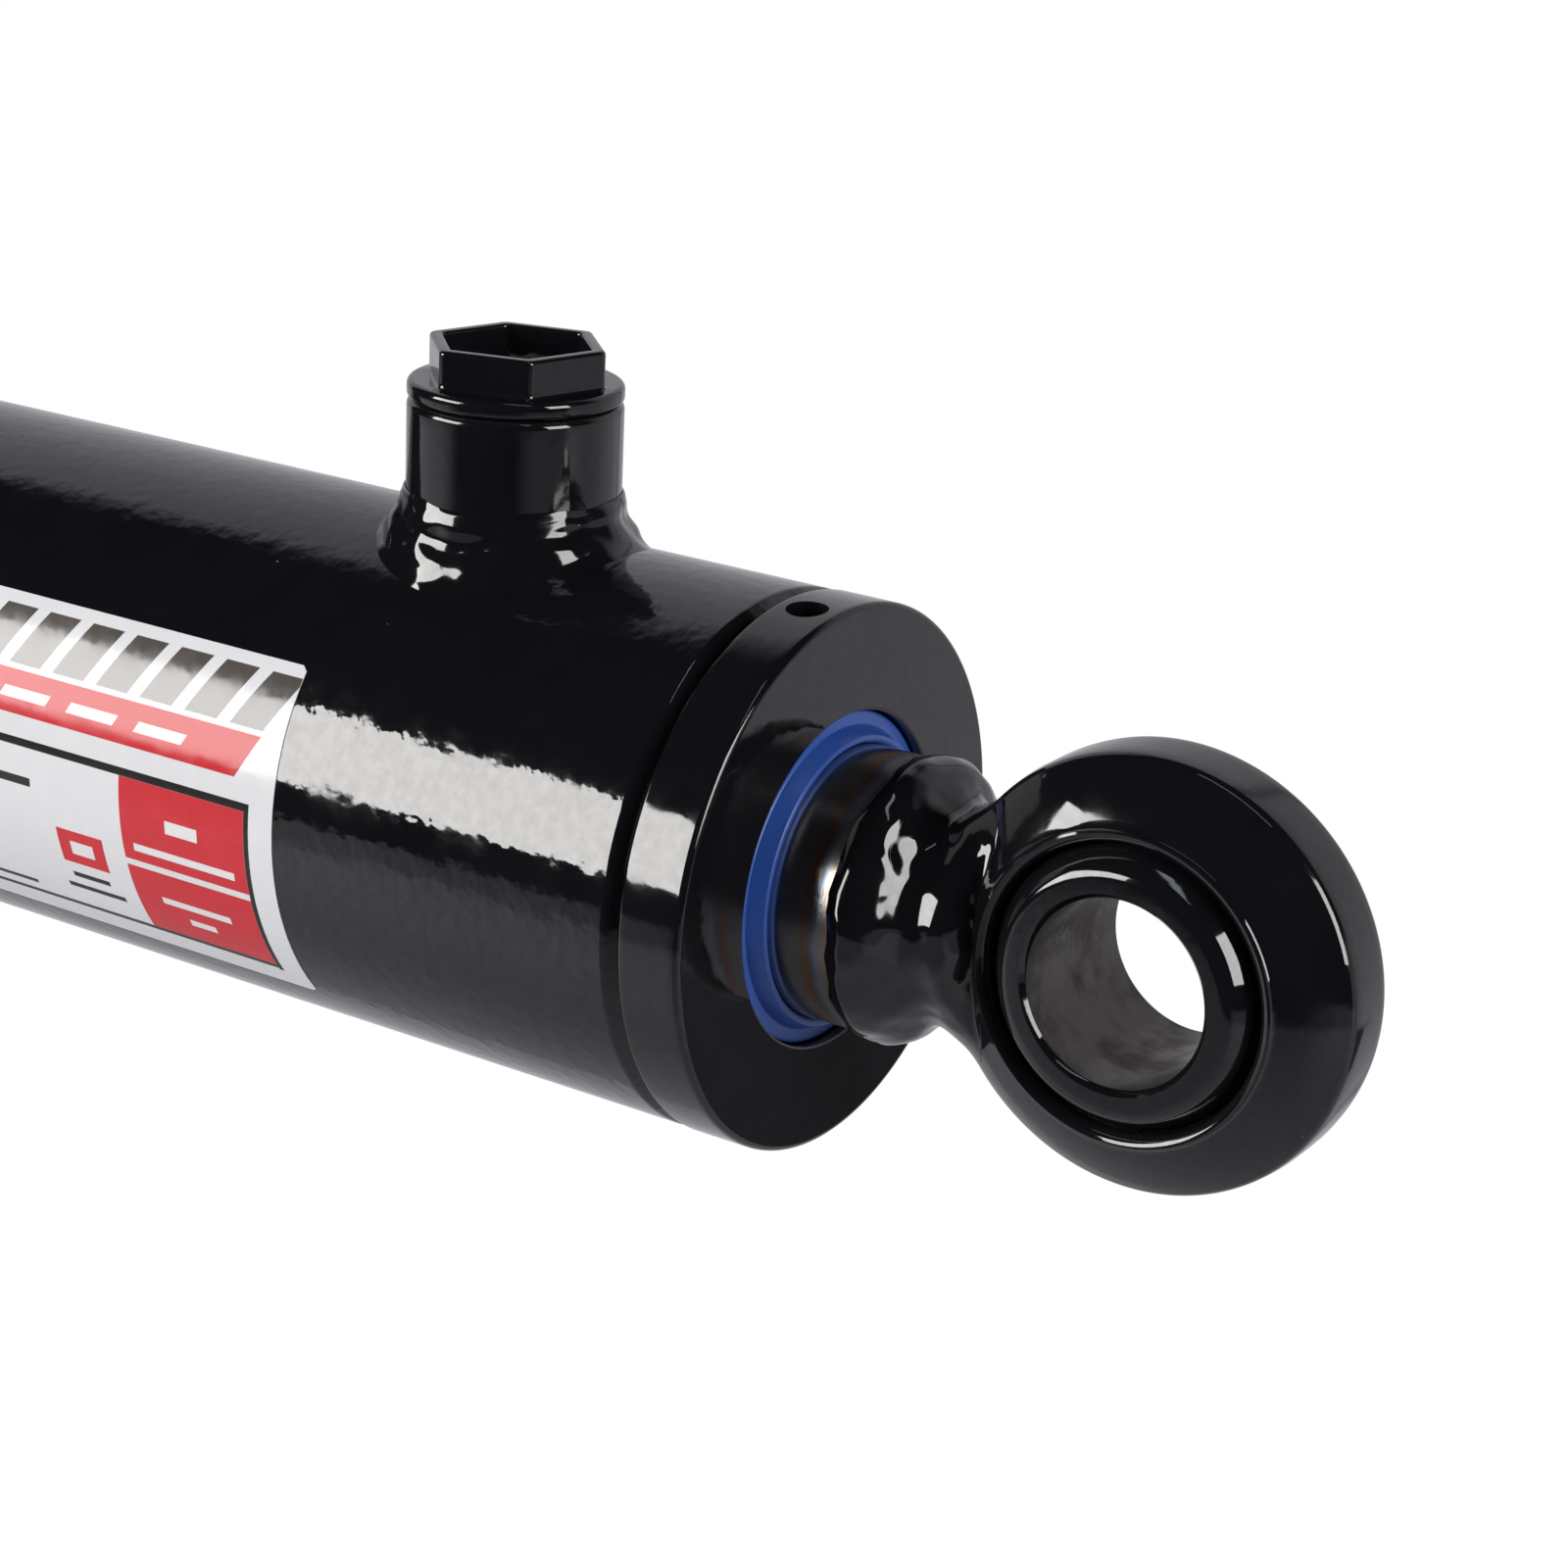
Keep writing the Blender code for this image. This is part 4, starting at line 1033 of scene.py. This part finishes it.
def plug_head(seat, flange_top):
    """The plug's rings from its hollow up over the hexagon and down to the underside of its flange."""
    turn = math.radians(15.1)
    outer, socket = 13.2 * MM, 11.15 * MM
    lip, bevel, fillet = 0.45 * MM, 0.6 * MM, 0.5 * MM
    quarter = [math.pi / 2 * step / 5 for step in range(6)]
    hollow = ((0.0, seat - 8.0 * MM), (6.0 * MM, seat - 8.0 * MM), (6.5 * MM, seat - 7.5 * MM))
    rings = [*hollow, (6.5 * MM, flange_top - 1.6 * MM), (6.8 * MM, flange_top - 1.2 * MM)]

    def six(size, corner, station):
        rings.append((hexagon(size, corner * MM, turn), station))

    six(socket - 0.5 * MM, 0.7, flange_top - 0.9 * MM)
    six(socket, 0.9, flange_top - 0.2 * MM)
    six(socket, 0.9, PLUG_TOP - 0.8 * MM)
    for swing in quarter:
        six(socket + lip * (1 - math.cos(swing)), 0.9, PLUG_TOP - lip + lip * math.sin(swing))
    for swing in quarter:
        six(outer - bevel * (1 - math.sin(swing)), 1.15, PLUG_TOP - bevel * (1 - math.cos(swing)))
    six(outer, 1.15, flange_top + 0.9 * MM)
    for swing in quarter[1:]:
        six(outer + fillet * (1 - math.cos(swing)), 1.4, flange_top + fillet * (1 - math.sin(swing)))
    flange = [
        (hexagon(outer, 1.4 * MM, turn).max() + 0.3 * MM, flange_top, 0.0),
        (PLUG_R, flange_top, 0.8 * MM),
        (PLUG_R, seat, 0.45 * MM),
        (8.0 * MM, seat, 0.2 * MM),
        (8.0 * MM, seat - 2.0 * MM, 0.0),
    ]
    return rings + rounded(flange, False)[1:]


def make_plug(name, port_x, body, paint, zinc):
    """The plug: threaded shank, O-ring neck, round flange and hollow hexagon, as one skin."""
    seat = BOSS_TOP + 0.3 * MM
    pitch = 25.4 / 16 * MM
    shank_r = 9.25 * MM
    rings = plug_head(seat, seat + 2.3 * MM)
    for station in np.linspace(seat - 2.3 * MM, PLUG_FOOT + 0.6 * MM, 90):
        wave = np.mod(station / pitch - TURN / math.tau, 1.0)
        rings.append((shank_r - 0.85 * MM * np.abs(2 * wave - 1), station))
    rings += [(shank_r - 1.0 * MM, PLUG_FOOT), (0.0, PLUG_FOOT)]
    piece = skin(name, rings, "Z", (port_x, 0.0, 0.0), closed=False)

    def is_bare(point, normal):
        return point.z < seat + 0.1 * MM and math.hypot(point.x - port_x, point.y) > 7.0 * MM

    bare_faces(piece, is_bare)
    return finish_piece(piece, body, "black_paint", [paint, zinc], name)


def make_torus(name, axis, centre, body, rubber):
    """An O-ring that fills its CAD node's box."""
    along = "XYZ".index(axis)
    section = (high(name, along) - low(name, along)) / 2
    radius = high(name, 1) - section
    steps = 20
    rings = []
    for step in range(steps):
        swing = math.tau * step / steps
        rings.append((radius + section * math.cos(swing), section * math.sin(swing)))
    return finish_piece(skin(name, rings, axis, centre), body, "nitrile_rubber", [rubber], name)


def make_port(end, port_x, materials, seed):
    paint = materials["paint"]
    make_boss(end + "_port_boss", port_x, paint, materials["bare"])
    make_port_weld(end + "_port_weld", port_x, materials["weld_paint"], seed)
    plug = end + "_port_plug"
    make_plug(plug, port_x, plug, paint, materials["zinc"])
    ring = end + "_port_o_ring"
    make_torus(ring, "Z", middle(ring), end + "_port_seal", materials["rubber"])


# ---------------------------------------------------------------- rod, piston and seals

def make_rod(name, chrome):
    """The rod: ground and chromed, stepped down to the piston spigot."""
    shoulder = PISTON_FRONT + 0.3 * MM
    spigot_r = 12.7 * MM
    corners = [
        (0.0, ROD_END, 0.0),
        (ROD_R, ROD_END, 0.8 * MM),
        (ROD_R, GLAND_FACE, 0.0),
        (ROD_R, GLAND_FACE - 60.0 * MM, 0.0),
        (ROD_R, shoulder, 0.6 * MM),
        (spigot_r, shoulder, 0.4 * MM),
        (spigot_r, ROD_START, 1.0 * MM),
        (0.0, ROD_START, 0.0),
    ]
    piece = turned(name, corners, closed=False)
    return finish_piece(piece, "rod", "chrome_rod", [chrome], name)


def make_simple_ring(name, body, slot, material, inner, fillet=0.25 * MM):
    """A plain turned ring that fills its CAD node's box, with softened edges."""
    low_x, high_x = low(name, 0), high(name, 0)
    outer = high(name, 2)
    sides = ((outer, high_x), (outer, low_x), (inner, low_x), (inner, high_x))
    corners = [(radius, station, fillet) for radius, station in sides]
    return finish_piece(turned(name, corners), body, slot, [material], name)


def make_piston(name, steel):
    """The piston with its three grooves."""
    def at(distance):
        return PISTON_FRONT - distance * MM

    bore_r = 13.0 * MM
    groove_r = 15.4 * MM
    corners = [(PISTON_R, PISTON_FRONT, 1.0 * MM)]
    for start, stop, floor in ((5.0, 13.5, 29.0), (17.5, 27.0, 26.5), (31.0, 39.5, 29.0)):
        corners.append((PISTON_R, at(start), 0.2 * MM))
        corners.append((floor * MM, at(start), 0.2 * MM))
        corners.append((floor * MM, at(stop), 0.2 * MM))
        corners.append((PISTON_R, at(stop), 0.2 * MM))
    corners += [
        (PISTON_R, PISTON_BACK, 1.0 * MM),
        (bore_r, PISTON_BACK, 0.4 * MM),
        (bore_r, at(11.4), 0.1 * MM),
        (groove_r, at(11.4), 0.2 * MM),
        (groove_r, at(8.0), 0.2 * MM),
        (bore_r, at(8.0), 0.1 * MM),
        (bore_r, PISTON_FRONT, 0.4 * MM),
    ]
    return finish_piece(turned(name, corners), "rod", "machined_steel", [steel], name)


def make_nut(name, steel):
    """The piston nut: a hexagon chamfered at both faces, threaded inside."""
    size = 21.9 * MM
    high_x, low_x = high(name, 0), low(name, 0)
    bevel = 2.0 * MM
    sides = ((high_x, bevel), (high_x - bevel, 0.0), (low_x + bevel, 0.0), (low_x, bevel))
    rings = []
    for station, cut in sides:
        rings.append((np.minimum(hexagon(size, 0.4 * MM, 0.0), size - cut), station))
    steps = 28
    for step in range(steps + 1):
        station = low_x + 0.5 * MM + (high_x - low_x - 1.0 * MM) * step / steps
        rings.append((13.0 * MM + (step % 2) * 0.5 * MM, station))
    return finish_piece(skin(name, rings), "rod", "machined_steel", [steel], name)


def make_rod_seal(name, urethane):
    """The U-cup behind the wiper, open towards the oil."""
    low_x, high_x = low(name, 0), high(name, 0)
    outer = high(name, 2)
    inner = ROD_R + 0.3 * MM
    centre_r = (outer + inner) / 2
    corners = [
        (outer, high_x, 0.3 * MM),
        (outer, low_x, 0.3 * MM),
        (outer - 1.1 * MM, low_x, 0.3 * MM),
        (centre_r, low_x + 3.2 * MM, 0.5 * MM),
        (inner + 1.1 * MM, low_x, 0.3 * MM),
        (inner, low_x, 0.3 * MM),
        (inner, high_x, 0.3 * MM),
    ]
    return finish_piece(turned(name, corners), "barrel", "blue_urethane", [urethane], name)


def make_inside(materials):
    """Everything that the barrel hides."""
    rubber, plastic = materials["rubber"], materials["plastic"]
    make_rod("rod", materials["chrome"])
    make_piston("piston", materials["turned"])
    make_nut("piston_nut", materials["turned"])
    make_rod_seal("rod_seal", materials["urethane"])
    make_simple_ring("gland_wear_ring", "barrel", "wear_plastic", plastic, ROD_R + 0.3 * MM)
    make_simple_ring("gland_backup_ring", "barrel", "wear_plastic", plastic, 29.2 * MM)
    make_simple_ring("piston_seal", "piston_seals", "nitrile_rubber", rubber, 26.8 * MM, 0.8 * MM)
    for name in ("piston_wear_ring_front", "piston_wear_ring_rear"):
        make_simple_ring(name, "piston_seals", "wear_plastic", plastic, 29.3 * MM)
    for name, body in (("gland_o_ring", "barrel"), ("piston_o_ring", "rod")):
        make_torus(name, "X", (middle(name).x, 0.0, 0.0), body, rubber)


# ---------------------------------------------------------------- stage, light and camera

FOCUS = Vector((GLAND_FACE, 0.0, 0.0))
LIGHT_DISTANCE = 3.0


def heading(azimuth, elevation):
    """Unit vector from the part: azimuth 0 is -Y and 90 is +X, in degrees."""
    turn, rise = math.radians(azimuth), math.radians(elevation)
    return Vector((math.sin(turn) * math.cos(rise), -math.cos(turn) * math.cos(rise), math.sin(rise)))


def make_area_light(name, direction, along, widths, radiance, color):
    """A rectangular area light that faces the part from a direction, one side along a vector."""
    light = bpy.data.lights.new(name, "AREA")
    light.shape = "RECTANGLE"
    light.size, light.size_y = widths
    light.energy = radiance * math.pi * light.size * light.size_y
    light.color = color
    lamp = bpy.data.objects.new(name, light)
    bpy.context.scene.collection.objects.link(lamp)
    across = direction.cross(along).normalized()
    axes = Matrix((across.cross(direction), across, direction)).transposed().to_4x4()
    lamp.matrix_world = Matrix.Translation(FOCUS + direction * LIGHT_DISTANCE) @ axes
    lamp.visible_camera = False


def wide(angle):
    """Width at the lights' distance of something that fills an angle."""
    return 2 * LIGHT_DISTANCE * math.tan(angle / 2)


def make_softbox(name, azimuths, elevations, radiance, color=(1.0, 1.0, 1.0)):
    """A light that fills those angles, in degrees, as seen from the part."""
    turn, rise = sum(azimuths) / 2, sum(elevations) / 2
    width = wide(math.radians(azimuths[1] - azimuths[0])) * math.cos(math.radians(rise))
    height = wide(math.radians(elevations[1] - elevations[0]))
    direction = heading(turn, rise)
    level = Vector((0.0, 0.0, 1.0)).cross(direction).normalized()
    make_area_light(name, direction, level, (width, height), radiance, color)


def make_strip_light(name, start, stop, width, radiance, color):
    """A long narrow light between two directions, its width in degrees."""
    start, stop = Vector(start).normalized(), Vector(stop).normalized()
    widths = (wide(start.angle(stop)), wide(math.radians(width)))
    make_area_light(name, (start + stop).normalized(), stop - start, widths, radiance, color)


def band_of(tree, value, starts, ends):
    """1 between two limits, each softened over its own pair of values."""
    rise = spread(tree, value, *starts)
    fall = spread(tree, value, *ends, 1.0, 0.0)
    return calc(tree, "MULTIPLY", rise, fall)


def product(tree, *factors):
    total = factors[0]
    for factor in factors[1:]:
        total = calc(tree, "MULTIPLY", total, factor)
    return total


def make_world():
    """A studio by direction: dark room, pale walls behind, pale table with two bright patches."""
    world = bpy.data.worlds.new("studio")
    bpy.context.scene.world = world
    world.use_nodes = True
    tree = world.node_tree
    direction = add(tree, "ShaderNodeTexCoord", output=0)
    side, depth, height = outputs_of(tree, "ShaderNodeSeparateXYZ", {0: direction})
    left = spread(tree, side, -0.10, 0.10, 1.0, 0.0)
    right = spread(tree, side, -0.10, 0.10)
    below_top = spread(tree, height, 0.70, 0.84, 1.0, 0.0)
    low_down = spread(tree, height, 0.12, 0.28, 1.0, 0.0)
    table = spread(tree, height, -0.92, -0.34, 0.50, 0.30)
    parts = [
        product(tree, spread(tree, depth, 0.14, 0.30), left, below_top, 0.62),
        product(tree, spread(tree, depth, 0.50, 0.78), right, below_top, 0.58),
        product(tree, spread(tree, depth, -0.02, 0.12), right, low_down, 0.50),
        product(tree, table, spread(tree, height, -0.37, -0.31, 1.0, 0.0)),
    ]
    total = any_of(tree, parts)
    level = calc(tree, "SQRT", calc(tree, "SUBTRACT", 1.0, calc(tree, "MULTIPLY", height, height)))
    for azimuth, reach in ((-64.0, 0.75), (77.0, 0.35)):
        patch = heading(azimuth, 0.0)
        toward = calc(
            tree, "ADD", calc(tree, "MULTIPLY", side, patch.x), calc(tree, "MULTIPLY", depth, patch.y)
        )
        toward = calc(tree, "DIVIDE", toward, level)
        across = spread(tree, toward, math.cos(math.radians(41.0)), math.cos(math.radians(12.0)))
        down = band_of(tree, height, (-0.85, -0.35), (-0.23, -0.18))
        total = calc(tree, "ADD", total, product(tree, across, down, reach))
    gap = product(
        tree,
        band_of(tree, side, (0.34, 0.42), (0.56, 0.64)),
        spread(tree, depth, 0.55, 0.66),
        band_of(tree, height, (-0.60, -0.50), (-0.385, -0.33)),
    )
    total = calc(tree, "MULTIPLY", total, spread(tree, gap, 0.0, 1.0, 1.0, 0.15))
    background = tree.nodes["Background"]
    link(tree, calc(tree, "ADD", total, 0.003), background, "Strength")
    background.inputs["Color"].default_value = rgb(1.0, 0.985, 1.05)


def make_backdrop():
    """A white sweep, seen by the camera only, so that it neither lights nor shades the part."""
    corners = [
        (0.0, -0.35, 0.0),
        (9.0, -0.35, 3.0),
        (9.0, 9.0, 4.0),
        (0.0, 9.0, 0.0),
    ]
    sweep = turned("sweep", corners, "Z", closed=False, steps=12)
    material = bpy.data.materials.new("sweep_white")
    material.use_nodes = True
    tree = material.node_tree
    tree.nodes.clear()
    glow = add(tree, "ShaderNodeEmission", {"Color": rgb(1.0, 1.0, 1.0), "Strength": 1.0})
    tree.links.new(glow, tree.nodes.new("ShaderNodeOutputMaterial").inputs["Surface"])
    sweep.data.materials.append(material)
    sweep.data.shade_smooth()
    for kind in ("diffuse", "glossy", "transmission", "volume_scatter", "shadow"):
        setattr(sweep, "visible_" + kind, False)


def make_camera():
    """The camera, at the three-quarter view from above the rod's end."""
    azimuth, roll = 32.712, math.radians(2.783)
    back = heading(azimuth, 19.183)
    right = heading(azimuth + 90.0, 0.0)
    up = back.cross(right)
    tilted_right = right * math.cos(roll) + up * math.sin(roll)
    tilted_up = up * math.cos(roll) - right * math.sin(roll)
    lens = bpy.data.cameras.new("camera")
    lens.lens = 81.487
    lens.sensor_width = 36.0
    lens.clip_start = 0.01
    lens.clip_end = 60.0
    camera = bpy.data.objects.new("camera", lens)
    bpy.context.scene.collection.objects.link(camera)
    place_at = FOCUS + Vector((0.236488, -0.383524, 0.170005))
    axes = Matrix((tilted_right, tilted_up, back)).transposed().to_4x4()
    camera.matrix_world = Matrix.Translation(place_at) @ axes
    bpy.context.scene.camera = camera


def make_studio():
    make_camera()
    make_world()
    make_backdrop()
    make_softbox("softbox_left", (-59.0, -23.0), (0.8, 26.0), 15.0, (1.0, 0.985, 0.96))
    make_softbox("softbox_right", (71.0, 97.0), (4.5, 38.0), 11.5)
    make_strip_light("strip_above", (-0.15, 0.0, 1.0), (0.42, -0.26, 0.87), 3.5, 3.5, (0.80, 0.92, 1.0))
    view = bpy.context.scene.view_settings
    view.view_transform = "Standard"
    view.look = "None"
    view.exposure = 0.0
    view.gamma = 1.0


# ---------------------------------------------------------------- build

def make_materials():
    dark_bore = (0.092, 0.086, 0.084)
    stain = (0.050, 0.037, 0.029)
    return {
        "tube_paint": make_paint("tube_paint", 0.000072),
        "paint": make_paint("gloss_paint", 0.000022),
        "face_paint": make_paint("gland_paint", 0.000022),
        "weld_paint": make_paint("weld_paint", 0.000012, 0.00006),
        "bare": make_steel("bare_steel", (0.40, 0.39, 0.38), (0.24, 0.22, 0.20), (2600.0, 80.0, 80.0)),
        "turned": make_steel("turned_steel", (0.46, 0.45, 0.44), (0.36, 0.34, 0.32), (2600.0, 80.0, 80.0)),
        "zinc": make_steel("zinc_steel", (0.50, 0.49, 0.45), (0.38, 0.36, 0.30), (90.0, 90.0, 900.0)),
        "bore": make_steel("bore_steel", dark_bore, stain, (45.0, 1500.0, 45.0), (0.30, 0.50), 0.00002),
        "chrome": make_chrome(),
        "urethane": make_urethane(),
        "rubber": make_polymer("seal_rubber", (0.012, 0.012, 0.012), (0.022, 0.021, 0.020), 0.45),
        "plastic": make_polymer("wear_band", (0.16, 0.10, 0.05), (0.20, 0.13, 0.07), 0.42),
        "vinyl_edge": make_polymer("vinyl_edge", (0.70, 0.70, 0.71), (0.78, 0.78, 0.79), 0.30),
        "label": make_label_print(),
    }


def main():
    materials = make_materials()
    paint, bare = materials["paint"], materials["bare"]
    make_tube("barrel_tube", materials["tube_paint"], bare)
    make_gland("gland", materials["face_paint"], bare)
    make_wiper("wiper_seal", materials["urethane"])
    make_cap("base_cap", paint, bare)
    make_cap_weld("base_cap_weld", materials["weld_paint"])
    make_label("data_label_skin", "barrel", "data_label", materials["label"], materials["vinyl_edge"])
    make_eye_ring("rod_eye_ring", ROD_EYE, "rod", paint, bare)
    make_eye_ring("base_eye_ring", BASE_EYE, "barrel", paint, bare)
    make_ball("rod_eye_ball", ROD_EYE, "rod_ball", paint, materials["bore"])
    make_ball("base_eye_ball", BASE_EYE, "base_ball", paint, materials["bore"])
    make_rod_neck("rod_eye_weld", materials["weld_paint"])
    make_base_neck("base_eye_weld", materials["weld_paint"])
    make_port("rod", ROD_PORT, materials, 2.1)
    make_port("base", BASE_PORT, materials, 8.4)
    make_inside(materials)
    make_studio()


main()
